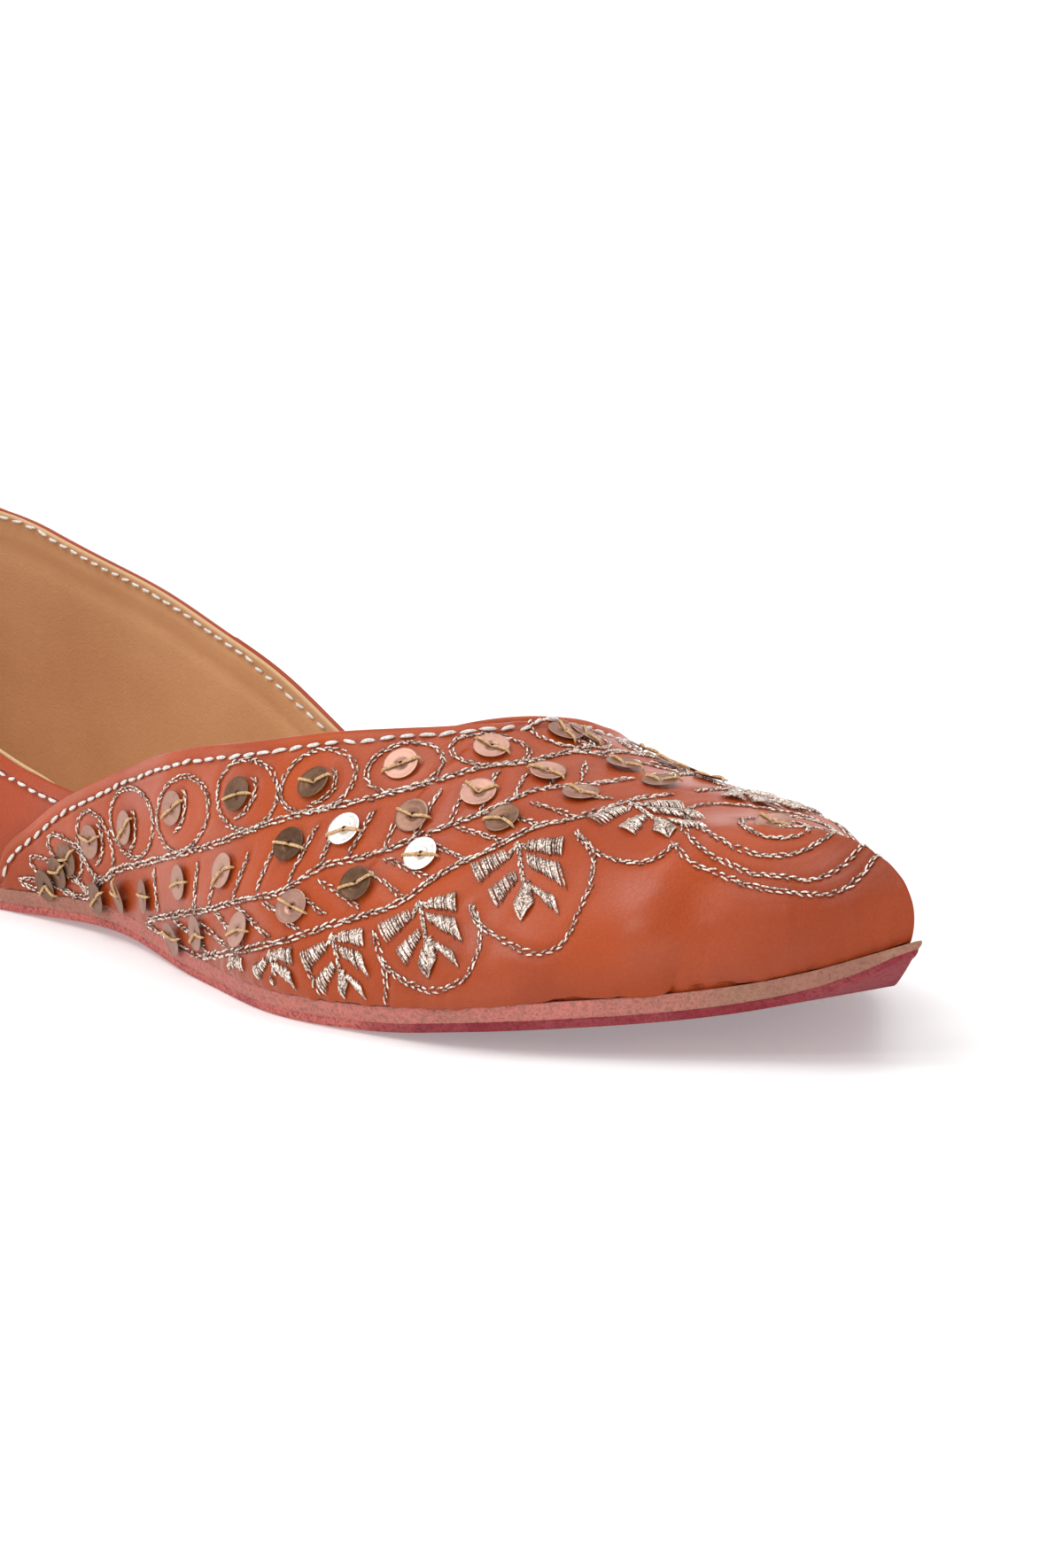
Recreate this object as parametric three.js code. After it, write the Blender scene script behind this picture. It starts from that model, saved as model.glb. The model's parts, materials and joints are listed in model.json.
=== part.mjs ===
import * as THREE from 'three';
import { mergeVertices } from 'three/addons/utils/BufferGeometryUtils.js';

// A left mojari, toe towards +X, inner side of the foot towards -Y, resting on the plane z = 0.
// Sizes in millimetres. Tables hold shares of the named sizes beside them.

// Driving sizes
const LINE_LENGTH = 255;
const BALL_WIDTH = 81;
const INSTEP_HEIGHT = 52.2;
const HEEL_HEIGHT = 55;
const THROAT_HEIGHT = 37.7;
const TOE_SPRING = 12.5;
const ARCH_RISE = 1.4;
const THROAT_SHARE = 0.7333;

// Layers
const OUTSOLE_THICKNESS = 1.2;
const MIDSOLE_THICKNESS = 1.9;
const INSOLE_THICKNESS = 1.3;
const SEAT_GAP = 0.3;
const VAMP_WALL = 1.2;
const VAMP_GAP = 0.3;
const UPPER_WALL = 1.6;
const INSOLE_CLEARANCE = 0.4;
const SOLE_TOP = OUTSOLE_THICKNESS + SEAT_GAP + MIDSOLE_THICKNESS;

// Edge steps, measured outwards from the walking line
const OUTSOLE_FLARE = 0.35;
const MIDSOLE_FOOT = 0.45;
const MIDSOLE_HEAD = 1.0;
const UPPER_OVERHANG = 1.2;
const TIP_REACH = 2.2;
const TIP_RISE = 1.6;
const TIP_START = 0.95;

// The origin lies on the floor, halfway along the whole shoe
const MIDDLE = (LINE_LENGTH + TIP_REACH) / 2;

// Shape of the outline at heel and toe
const HEEL_CAP_SHARE = 0.12;
const TOE_CAP_SHARE = 0.828;
const HEEL_ROUND = 2.2;
const TOE_LENGTHWISE = 2.24;
const TOE_CROSSWISE = 1.22;

// Where the ridge of the last fans out at heel and toe
const HEEL_FAN_SHARE = 0.13;
const TOE_FAN_SHARE = 0.897;

// Fullness of the wall just over the sole
const BELLY = 1.2;
const BELLY_REACH = 0.55;

// Underside: flat at heel and forefoot, a low arch between, toe spring in front
const ARCH_START = 0.33;
const ARCH_END = 0.60;

// Lift of the sole in front of the ball, shares of the toe spring
const SPRING = [
  { along: 0.700, lift: 0.000 },
  { along: 0.740, lift: 0.018 },
  { along: 0.780, lift: 0.072 },
  { along: 0.810, lift: 0.152 },
  { along: 0.840, lift: 0.232 },
  { along: 0.875, lift: 0.322 },
  { along: 0.910, lift: 0.420 },
  { along: 0.955, lift: 0.630 },
  { along: 1.000, lift: 1.000 },
  { along: 1.010, lift: 1.100 },
];

// Half widths of the walking line, shares of the ball width
const WIDTHS = [
  { along: 0.000, inner: 0.315, outer: 0.315 },
  { along: 0.100, inner: 0.340, outer: 0.344 },
  { along: 0.200, inner: 0.337, outer: 0.350 },
  { along: 0.300, inner: 0.321, outer: 0.348 },
  { along: 0.400, inner: 0.310, outer: 0.345 },
  { along: 0.484, inner: 0.336, outer: 0.364 },
  { along: 0.553, inner: 0.394, outer: 0.408 },
  { along: 0.622, inner: 0.452, outer: 0.458 },
  { along: 0.690, inner: 0.500, outer: 0.500 },
  { along: 0.759, inner: 0.482, outer: 0.482 },
  { along: 0.828, inner: 0.432, outer: 0.432 },
  { along: 0.897, inner: 0.316, outer: 0.316 },
  { along: 0.948, inner: 0.210, outer: 0.210 },
  { along: 1.000, inner: 0.115, outer: 0.115 },
];

// Ridge of the last over the sole, shares of the instep height
const RIDGE = [
  { along: 0.000, height: 1.571 },
  { along: 0.140, height: 1.563 },
  { along: 0.312, height: 1.483 },
  { along: 0.484, height: 1.241 },
  { along: 0.613, height: 1.000 },
  { along: 0.673, height: 0.803 },
  { along: 0.725, height: 0.674 },
  { along: 0.776, height: 0.554 },
  { along: 0.828, height: 0.476 },
  { along: 0.880, height: 0.416 },
  { along: 0.931, height: 0.378 },
  { along: 1.000, height: 0.300 },
];

// Roundness of each cross section: steepness of the wall and breadth of the roof
const ROUNDNESS = [
  { along: 0.000, wall: 3.00, roof: 1.90 },
  { along: 0.500, wall: 2.62, roof: 1.80 },
  { along: 0.650, wall: 2.50, roof: 1.30 },
  { along: 0.740, wall: 2.60, roof: 1.05 },
  { along: 0.830, wall: 2.95, roof: 1.00 },
  { along: 0.914, wall: 3.20, roof: 1.50 },
  { along: 0.957, wall: 3.28, roof: 1.85 },
  { along: 1.000, wall: 3.35, roof: 1.90 },
];

// How far the outer side of the roof falls away under the plain section, shares of the instep height
const OUTER_FALL = [
  { along: 0.450, fall: 0.000 },
  { along: 0.500, fall: 0.000 },
  { along: 0.620, fall: 0.077 },
  { along: 0.690, fall: 0.119 },
  { along: 0.720, fall: 0.115 },
  { along: 0.740, fall: 0.084 },
  { along: 0.765, fall: 0.042 },
  { along: 0.800, fall: 0.015 },
  { along: 0.890, fall: 0.000 },
];

// Top edge of the quarters over the floor, shares of the heel height
const TOPLINE = [
  { along: 0.000, inner: 1.000, outer: 1.000 },
  { along: 0.071, inner: 0.955, outer: 0.962 },
  { along: 0.118, inner: 0.873, outer: 0.900 },
  { along: 0.176, inner: 0.755, outer: 0.830 },
  { along: 0.235, inner: 0.627, outer: 0.762 },
  { along: 0.294, inner: 0.510, outer: 0.669 },
  { along: 0.353, inner: 0.416, outer: 0.569 },
  { along: 0.400, inner: 0.370, outer: 0.450 },
  { along: 0.450, inner: 0.350, outer: 0.320 },
];

// Top edge of the vamp and its wings over the floor, shares of the throat height
const WING = [
  { along: 0.3490, inner: 0.165, outer: 0.165 },
  { along: 0.3565, inner: 0.236, outer: 0.236 },
  { along: 0.3765, inner: 0.336, outer: 0.336 },
  { along: 0.3990, inner: 0.430, outer: 0.430 },
  { along: 0.4460, inner: 0.576, outer: 0.576 },
  { along: 0.4960, inner: 0.694, outer: 0.694 },
  { along: 0.5490, inner: 0.801, outer: 0.775 },
  { along: 0.6188, inner: 0.891, outer: 0.820 },
  { along: 0.6686, inner: 0.955, outer: 0.828 },
  { along: 0.7000, inner: 0.981, outer: 0.850 },
  { along: 0.7200, inner: 0.993, outer: 0.905 },
  { along: 0.7333, inner: 1.000, outer: 1.000 },
];

// Fineness of the surfaces
const HEEL_COLUMNS = 8;
const COLLAR_COLUMNS = 26;
const COLLAR_CROWDING = 1.6;
const FRONT_COLUMNS = 4;
const TOE_COLUMNS = 13;
const WALL_ROWS = 10;
const SOLE_ROWS = 4;
const CUT_STEPS = 40;
const WELD = 1000;
const COLUMN_APART = 0.004;

const INNER = -1;
const OUTER = 1;
const HALF_TURN = Math.PI;
const QUARTER_TURN = Math.PI / 2;
const clamp = (value, low, high) => Math.min(high, Math.max(low, value));

// Natural cubic curve through one column of a table
function curve(table, column) {
  const x = table.map((row) => row.along);
  const y = table.map((row) => row[column]);
  const last = x.length - 1;
  const bend = new Array(last + 1).fill(0);
  const carry = new Array(last + 1).fill(0);
  for (let i = 1; i < last; i += 1) {
    const span = (x[i] - x[i - 1]) / (x[i + 1] - x[i - 1]);
    const pivot = span * bend[i - 1] + 2;
    bend[i] = (span - 1) / pivot;
    const turn = (y[i + 1] - y[i]) / (x[i + 1] - x[i]) - (y[i] - y[i - 1]) / (x[i] - x[i - 1]);
    carry[i] = ((6 * turn) / (x[i + 1] - x[i - 1]) - span * carry[i - 1]) / pivot;
  }
  bend[last] = 0;
  for (let i = last - 1; i >= 0; i -= 1) bend[i] = bend[i] * bend[i + 1] + carry[i];
  return (share) => {
    let k = 0;
    while (k < last - 1 && share > x[k + 1]) k += 1;
    const h = x[k + 1] - x[k];
    const a = (x[k + 1] - share) / h;
    const b = (share - x[k]) / h;
    const cubic = ((a ** 3 - a) * bend[k] + (b ** 3 - b) * bend[k + 1]) * (h * h) / 6;
    return a * y[k] + b * y[k + 1] + cubic;
  };
}

// Straight lines through one column of a table
function steps(table, column) {
  return (share) => {
    let k = 0;
    while (k < table.length - 2 && share > table[k + 1].along) k += 1;
    const part = clamp((share - table[k].along) / (table[k + 1].along - table[k].along), 0, 1);
    return table[k][column] + part * (table[k + 1][column] - table[k][column]);
  };
}

const widthCurve = { [INNER]: curve(WIDTHS, 'inner'), [OUTER]: curve(WIDTHS, 'outer') };
const toplineCurve = { [INNER]: curve(TOPLINE, 'inner'), [OUTER]: curve(TOPLINE, 'outer') };
const ridgeCurve = curve(RIDGE, 'height');
const springCurve = curve(SPRING, 'lift');
const wingCurve = { [INNER]: curve(WING, 'inner'), [OUTER]: curve(WING, 'outer') };
const wallPower = steps(ROUNDNESS, 'wall');
const roofPower = steps(ROUNDNESS, 'roof');
const outerFall = steps(OUTER_FALL, 'fall');
const FALL_SPREAD = 4;

// Height of the underside over the floor
function underside(x) {
  const share = x / LINE_LENGTH;
  const spring = springCurve(clamp(share, SPRING[0].along, SPRING[SPRING.length - 1].along));
  const arch = clamp((share - ARCH_START) / (ARCH_END - ARCH_START), 0, 1);
  return TOE_SPRING * spring + ARCH_RISE * Math.sin(HALF_TURN * arch) ** 2;
}

// A point of the outline, s from 0 at the heel to 1 at the toe, moved outwards by an offset
const SIDE_START = 0.2;
const SIDE_END = 0.7;
const HEEL_CAP = HEEL_CAP_SHARE * LINE_LENGTH;
const TOE_CAP = TOE_CAP_SHARE * LINE_LENGTH;

function outline(s, side, offset, reach = 0) {
  const heel = clamp(1 - s / SIDE_START, 0, 1) * QUARTER_TURN;
  const toe = clamp((s - SIDE_END) / (1 - SIDE_END), 0, 1) * QUARTER_TURN;
  let x = HEEL_CAP + ((TOE_CAP - HEEL_CAP) * (s - SIDE_START)) / (SIDE_END - SIDE_START);
  if (s < SIDE_START) x = HEEL_CAP - (HEEL_CAP + offset) * Math.sin(heel);
  const toeLength = LINE_LENGTH + offset + reach - TOE_CAP;
  if (s > SIDE_END) x = TOE_CAP + toeLength * Math.sin(toe) ** (2 / TOE_LENGTHWISE);
  const width = BALL_WIDTH * widthCurve[side](clamp(x / LINE_LENGTH, 0, 1)) + offset;
  const heelTaper = clamp(Math.cos(heel), 0, 1) ** (2 / HEEL_ROUND);
  const toeTaper = clamp(Math.cos(toe), 0, 1) ** (2 / TOE_CROSSWISE);
  const onCentre = s <= 0 || s >= 1;
  return { x, y: onCentre ? 0 : side * width * heelTaper * toeTaper };
}

// A point of the upper's surface, t from 0 at the sole to 1 on the ridge
function skin(s, t, side, offset) {
  const foot = outline(s, side, UPPER_OVERHANG + offset);
  const seat = underside(foot.x) + SOLE_TOP + SEAT_GAP;
  const crown = clamp(foot.x, HEEL_FAN_SHARE * LINE_LENGTH, TOE_FAN_SHARE * LINE_LENGTH);
  const share = foot.x / LINE_LENGTH;
  const turn = t * QUARTER_TURN;
  const inward = t >= 1 ? 1 : 1 - clamp(Math.cos(turn), 0, 1) ** (2 / wallPower(share));
  const upward = t >= 1 ? 1 : Math.sin(turn) ** (2 / roofPower(share));
  const dx = crown - foot.x;
  const dy = -foot.y;
  const span = Math.hypot(dx, dy) + 1e-9;
  const belly = BELLY * Math.sin(HALF_TURN * clamp(t / BELLY_REACH, 0, 1));
  const x = foot.x + inward * dx - (dx / span) * belly;
  const y = foot.y + inward * dy - (dy / span) * belly;
  const ridge = INSTEP_HEIGHT * ridgeCurve(clamp(x / LINE_LENGTH, 0, 1)) + underside(x) + SOLE_TOP + offset;
  const fallen = side === OUTER ? INSTEP_HEIGHT * outerFall(x / LINE_LENGTH) * (1 - inward ** FALL_SPREAD) : 0;
  return new THREE.Vector3(x, t >= 1 ? 0 : y, seat + upward * (ridge - seat - fallen));
}

const THROAT = THROAT_SHARE * LINE_LENGTH;
const wingTop = (x, side) => THROAT_HEIGHT * wingCurve[side](Math.min(x, THROAT) / LINE_LENGTH);
const quarterTop = (x, side) => HEEL_HEIGHT * toplineCurve[side](clamp(x / LINE_LENGTH, 0, 1));
const wingStart = WING[0].along * LINE_LENGTH;

// The collar follows the quarter's edge behind, and the vamp's edge from where that is the higher one
function collarTop(x, side) {
  const behind = x / LINE_LENGTH < TOPLINE[TOPLINE.length - 1].along ? quarterTop(x, side) : 0;
  const before = x > wingStart ? wingTop(x, side) : 0;
  return Math.max(behind, before);
}

// Where a column of the surface meets the top edge, as a value of t
function cutAt(s, side, top) {
  if (outline(s, side, 0).x >= THROAT - 1e-6) return 1;
  let low = 0;
  let high = 1;
  for (let i = 0; i < CUT_STEPS; i += 1) {
    const middle = (low + high) / 2;
    const point = skin(s, middle, side, 0);
    if (point.z < top(point.x, side)) low = middle;
    else high = middle;
  }
  return (low + high) / 2;
}

// Column positions along the outline, crowded towards the throat; one column lies exactly at it
function columnsFrom(start) {
  const atX = (x) => SIDE_START + ((SIDE_END - SIDE_START) * (x - HEEL_CAP)) / (TOE_CAP - HEEL_CAP);
  const list = [];
  for (let i = 0; i < HEEL_COLUMNS; i += 1) list.push((SIDE_START * i) / HEEL_COLUMNS);
  for (let i = 0; i < COLLAR_COLUMNS; i += 1) {
    const part = 1 - (1 - i / COLLAR_COLUMNS) ** COLLAR_CROWDING;
    list.push(atX(HEEL_CAP + (THROAT - HEEL_CAP) * part));
  }
  for (let i = 0; i < FRONT_COLUMNS; i += 1) list.push(atX(THROAT + ((TOE_CAP - THROAT) * i) / FRONT_COLUMNS));
  for (let i = 0; i <= TOE_COLUMNS; i += 1) list.push(SIDE_END + ((1 - SIDE_END) * i) / TOE_COLUMNS);
  if (!start) return list;
  const first = atX(start);
  return [first, ...list.filter((s) => s > first + COLUMN_APART)];
}

// Collects four-cornered patches as triangles, welded where corners coincide
class Skin {
  constructor() {
    this.points = [];
    this.faces = [];
    this.index = new Map();
  }

  corner(p) {
    const key = [p.x, p.y, p.z].map((v) => Math.round(v * WELD)).join(' ');
    if (!this.index.has(key)) {
      this.index.set(key, this.points.length);
      this.points.push(p);
    }
    return this.index.get(key);
  }

  triangle(a, b, c) {
    if (a !== b && b !== c && a !== c) this.faces.push(a, b, c);
  }

  patch(a, b, c, d, turned) {
    const [i, j, k, l] = [a, b, c, d].map((p) => this.corner(p));
    if (turned) {
      this.triangle(i, k, j);
      this.triangle(i, l, k);
    } else {
      this.triangle(i, j, k);
      this.triangle(i, k, l);
    }
  }

  geometry() {
    const raw = new THREE.BufferGeometry();
    raw.setAttribute('position', new THREE.Float32BufferAttribute(this.points.flatMap((p) => [p.x, p.y, p.z]), 3));
    raw.setIndex(this.faces);
    const welded = mergeVertices(raw, 1 / WELD);
    welded.translate(-MIDDLE, 0, 0);
    welded.computeVertexNormals();
    return welded;
  }
}

// A hollow wall between two offsets of the same surface, open underneath and at its top edge
function wall(start, top, outward, inward) {
  const skinned = new Skin();
  const columns = columnsFrom(start);
  for (const side of [INNER, OUTER]) {
    const turned = side === OUTER;
    const cuts = columns.map((s) => cutAt(s, s <= 0 ? INNER : side, top));
    const grid = (offset) => columns.map((s, i) => {
      const line = [];
      for (let j = 0; j <= WALL_ROWS; j += 1) line.push(skin(s, (cuts[i] * j) / WALL_ROWS, side, offset));
      return line;
    });
    const face = grid(outward);
    const lining = grid(inward);
    for (let i = 0; i + 1 < columns.length; i += 1) {
      for (let j = 0; j < WALL_ROWS; j += 1) {
        skinned.patch(face[i][j], face[i + 1][j], face[i + 1][j + 1], face[i][j + 1], turned);
        skinned.patch(lining[i][j], lining[i + 1][j], lining[i + 1][j + 1], lining[i][j + 1], !turned);
      }
      skinned.patch(lining[i][0], lining[i + 1][0], face[i + 1][0], face[i][0], turned);
      if (cuts[i] < 1) {
        const r = WALL_ROWS;
        skinned.patch(face[i][r], face[i + 1][r], lining[i + 1][r], lining[i][r], turned);
      }
    }
    if (start) {
      for (let j = 0; j < WALL_ROWS; j += 1) {
        skinned.patch(lining[0][j], face[0][j], face[0][j + 1], lining[0][j + 1], turned);
      }
    }
  }
  return skinned.geometry();
}

// A flat layer that follows the underside, between two heights, with its own edge slope
function layer(low, high, footOffset, headOffset, reach) {
  const skinned = new Skin();
  const columns = columnsFrom(0);
  const tipShare = (x) => clamp((x / LINE_LENGTH - TIP_START) / (1 - TIP_START), 0, 1);
  const rise = (x) => TIP_RISE * (reach / TIP_REACH) * tipShare(x) ** 2;
  const sheet = (height, offset, lifted) => columns.map((s) => {
    const near = outline(s, INNER, offset, reach);
    const far = outline(s, OUTER, offset, reach);
    const line = [];
    for (let j = 0; j <= SOLE_ROWS; j += 1) {
      const y = near.y + ((far.y - near.y) * j) / SOLE_ROWS;
      line.push(new THREE.Vector3(near.x, y, underside(near.x) + height + lifted * rise(near.x)));
    }
    return line;
  });
  const tipLift = (height) => 1 - height / SOLE_TOP;
  const bottom = sheet(low, footOffset, tipLift(Math.min(low, SOLE_TOP)));
  const roof = sheet(high, headOffset, tipLift(Math.min(high, SOLE_TOP)));
  for (let i = 0; i + 1 < columns.length; i += 1) {
    for (let j = 0; j < SOLE_ROWS; j += 1) {
      skinned.patch(bottom[i][j], bottom[i + 1][j], bottom[i + 1][j + 1], bottom[i][j + 1], true);
      skinned.patch(roof[i][j], roof[i + 1][j], roof[i + 1][j + 1], roof[i][j + 1], false);
    }
    const r = SOLE_ROWS;
    skinned.patch(bottom[i][0], bottom[i + 1][0], roof[i + 1][0], roof[i][0], false);
    skinned.patch(bottom[i][r], bottom[i + 1][r], roof[i + 1][r], roof[i][r], true);
  }
  return skinned.geometry();
}

const shoe = new THREE.Group();
shoe.name = 'mojari';

function add(name, geometry, color, roughness) {
  const material = new THREE.MeshStandardMaterial({ color, roughness, side: THREE.FrontSide });
  const mesh = new THREE.Mesh(geometry, material);
  mesh.name = name;
  shoe.add(mesh);
}

const upperOffset = -(VAMP_WALL + VAMP_GAP);
const liningOffset = upperOffset - UPPER_WALL;
const midsoleLow = OUTSOLE_THICKNESS + SEAT_GAP;
const insoleLow = SOLE_TOP + SEAT_GAP;
const insoleOffset = UPPER_OVERHANG + liningOffset - INSOLE_CLEARANCE;

add('outsole', layer(0, OUTSOLE_THICKNESS, 0, OUTSOLE_FLARE, TIP_REACH), 0x8f1f2c, 0.8);
add('midsole', layer(midsoleLow, SOLE_TOP, MIDSOLE_FOOT, MIDSOLE_HEAD, TIP_REACH), 0xb58563, 0.85);
add('insole', layer(insoleLow, insoleLow + INSOLE_THICKNESS, insoleOffset, insoleOffset, 0), 0xc99a6b, 0.7);
add('upper', wall(0, collarTop, upperOffset, liningOffset), 0xb4541f, 0.45);
add('vamp', wall(wingStart, wingTop, 0, -VAMP_WALL), 0xa8481c, 0.45);

export default shoe;
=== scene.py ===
# %% [markdown]
# # A pointed leather mojari, embroidered with metal thread and sequins
# The solids already hold the shoe's real form. Here each layer of leather is made again as a fine surface, with the
# seams, rolled edges, stitches, embroidery, grain and rough sole edge that a person sees up close.
# Everything is measured in millimetres while it is worked out, and divided by a thousand when it becomes a mesh.

import json

import bpy
import numpy as np
from mathutils import Matrix, Vector
from mathutils.bvhtree import BVHTree

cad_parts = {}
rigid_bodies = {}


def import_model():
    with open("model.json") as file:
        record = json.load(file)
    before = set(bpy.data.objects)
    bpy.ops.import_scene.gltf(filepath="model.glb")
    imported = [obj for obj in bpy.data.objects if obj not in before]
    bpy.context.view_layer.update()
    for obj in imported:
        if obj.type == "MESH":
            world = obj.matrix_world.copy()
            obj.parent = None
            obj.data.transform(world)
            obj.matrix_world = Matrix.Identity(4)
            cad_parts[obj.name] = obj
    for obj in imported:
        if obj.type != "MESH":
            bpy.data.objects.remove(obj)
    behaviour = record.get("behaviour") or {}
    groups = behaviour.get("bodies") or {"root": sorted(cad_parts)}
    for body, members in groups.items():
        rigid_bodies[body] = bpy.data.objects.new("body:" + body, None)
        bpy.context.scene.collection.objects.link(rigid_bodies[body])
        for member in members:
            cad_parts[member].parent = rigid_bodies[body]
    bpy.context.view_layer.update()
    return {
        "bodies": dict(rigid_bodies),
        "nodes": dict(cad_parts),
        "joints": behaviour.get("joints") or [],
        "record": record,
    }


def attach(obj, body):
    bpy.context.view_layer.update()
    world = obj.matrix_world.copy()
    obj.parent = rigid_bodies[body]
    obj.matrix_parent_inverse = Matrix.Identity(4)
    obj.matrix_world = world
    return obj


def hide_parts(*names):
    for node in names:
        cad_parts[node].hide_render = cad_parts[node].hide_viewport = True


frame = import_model()

# %% [markdown]
# ## The shape of the last
# A shoe is stretched over a last, so every layer is the same surface at another distance. Five things describe it:
# the walking line of the sole seen from above, the lift of the underside, the ridge seen from the side, how square
# each cross section is, and how far the outer side of the instep falls away. Short tables hold these as shares of the
# shoe's own sizes. Working from the same numbers as the solids means that no piece has to be fitted by eye.

# %% Sizes and tables of the last
LINE, BALL, INSTEP, HEEL, THROAT_TOP = 255.0, 81.0, 52.2, 55.0, 37.7
TOE_SPRING, ARCH_RISE, THROAT = 12.5, 1.4, 0.7333
SOLE_TOP, SEAT, OVERHANG, OVERHANG_REACH = 3.4, 0.3, 1.2, 0.55
TIP, TIP_RISE, TIP_START = 2.2, 1.6, 0.95
ARCH_START, ARCH_END, FALL_SPREAD = 0.33, 0.60, 4
HEEL_ROUND, TOE_LONG, TOE_CROSS = 2.2, 2.24, 1.22
MIDDLE = (LINE + TIP) / 2
CAP_HEEL, CAP_TOE, FAN_HEEL, FAN_TOE = 0.12 * LINE, 0.828 * LINE, 0.13 * LINE, 0.897 * LINE
S_HEEL, S_TOE = 0.2, 0.7  # where the heel cap of the outline ends and the toe cap begins
INNER, OUTER = -1, 1

WIDTHS = np.array([  # along, inner, outer: half widths of the walking line, shares of the ball width
    (0.0, 0.315, 0.315), (0.1, 0.34, 0.344), (0.2, 0.337, 0.35), (0.3, 0.321, 0.348),
    (0.4, 0.31, 0.345), (0.484, 0.336, 0.364), (0.553, 0.394, 0.408), (0.622, 0.452, 0.458),
    (0.69, 0.5, 0.5), (0.759, 0.482, 0.482), (0.828, 0.432, 0.432), (0.897, 0.316, 0.316),
    (0.948, 0.21, 0.21), (1.0, 0.115, 0.115)])
RIDGE = np.array([  # along, height over the sole, share of the instep
    (0.0, 1.571), (0.14, 1.563), (0.312, 1.483), (0.484, 1.241), (0.613, 1.0), (0.673, 0.803),
    (0.725, 0.674), (0.776, 0.554), (0.828, 0.476), (0.88, 0.416), (0.931, 0.378), (1.0, 0.3)])
SPRING = np.array([  # along, lift of the sole in front of the ball, shares of the toe spring
    (0.7, 0.0), (0.74, 0.018), (0.78, 0.072), (0.81, 0.152), (0.84, 0.232), (0.875, 0.322),
    (0.91, 0.42), (0.955, 0.63), (1.0, 1.0), (1.01, 1.1)])
ROUNDNESS = np.array([  # along, steepness of the wall, breadth of the roof
    (0.0, 3.0, 1.9), (0.5, 2.62, 1.8), (0.65, 2.5, 1.3), (0.74, 2.6, 1.05),
    (0.83, 2.95, 1.0), (0.914, 3.2, 1.5), (0.957, 3.28, 1.85), (1.0, 3.35, 1.9)])
FALL = np.array([  # along, how far the outer side of the roof falls away, shares of the instep
    (0.45, 0.0), (0.5, 0.0), (0.62, 0.077), (0.69, 0.119), (0.72, 0.115), (0.74, 0.084),
    (0.765, 0.042), (0.8, 0.015), (0.89, 0.0)])
TOPLINE = np.array([  # along, inner, outer: top edge of the quarters, shares of the heel height
    (0.0, 1.0, 1.0), (0.071, 0.955, 0.962), (0.118, 0.873, 0.9), (0.176, 0.755, 0.83),
    (0.235, 0.627, 0.762), (0.294, 0.51, 0.669), (0.353, 0.416, 0.569), (0.4, 0.37, 0.45),
    (0.45, 0.35, 0.32)])
WING = np.array([  # along, inner, outer: top edge of the vamp, shares of the throat height
    (0.349, 0.165, 0.165), (0.3565, 0.236, 0.236), (0.3765, 0.336, 0.336), (0.399, 0.43, 0.43),
    (0.446, 0.576, 0.576), (0.496, 0.694, 0.694), (0.549, 0.801, 0.775), (0.6188, 0.891, 0.82),
    (0.6686, 0.955, 0.828), (0.7, 0.981, 0.85), (0.72, 0.993, 0.905), (0.7333, 1.0, 1.0)])

# %% [markdown]
# ## Curves through the tables
# A natural cubic curve has no kink and no bend at its ends. Its bends m at the stations come from one set of linear
# equations, and between two stations it is a cubic of the two heights and the two bends.

# %% Natural cubic curves
def spline(xs, ys):
    """Natural cubic curve: its bends solve h0*m0 + 2(h0+h1)*m1 + h1*m2 = 6 times the change of slope."""
    h = np.diff(xs)
    a = np.diag(np.r_[1, 2 * (h[:-1] + h[1:]), 1]) + np.diag(np.r_[0, h[1:]], 1) + np.diag(np.r_[h[:-1], 0], -1)
    slope = np.diff(ys) / h
    m = np.linalg.solve(a, np.r_[0, 6 * np.diff(slope), 0])

    def at(x):
        k = np.clip(np.searchsorted(xs, x) - 1, 0, len(h) - 1)
        p, q = (xs[k + 1] - x) / h[k], (x - xs[k]) / h[k]
        return p * ys[k] + q * ys[k + 1] + ((p**3 - p) * m[k] + (q**3 - q) * m[k + 1]) * h[k] ** 2 / 6

    return at


def two_sided(table):
    """One curve for the inner column of a table and one for the outer, chosen by the side."""
    inner, outer = spline(table[:, 0], table[:, 1]), spline(table[:, 0], table[:, 2])
    return lambda x, side: np.where(side < 0, inner(x), outer(x))


width_of, topline_of, wing_of = two_sided(WIDTHS), two_sided(TOPLINE), two_sided(WING)
ridge_of, lift_of = spline(*RIDGE.T), spline(*SPRING.T)

# %% [markdown]
# ## The surface of the last
# A place on the surface is a pair: s runs round the outline from the heel to the toe, and t climbs from the sole to
# the ridge. A third number moves the place outwards or inwards, and that is how one last gives every layer.

# %% Underside, outline and skin
def underside(x):
    """Lift of the sole: the toe spring follows its table in front of the ball, the arch is a sine squared."""
    spring = lift_of(np.clip(x / LINE, SPRING[0, 0], SPRING[-1, 0]))
    arch = np.clip((x / LINE - ARCH_START) / (ARCH_END - ARCH_START), 0, 1)
    return TOE_SPRING * spring + ARCH_RISE * np.sin(np.pi * arch) ** 2


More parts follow.
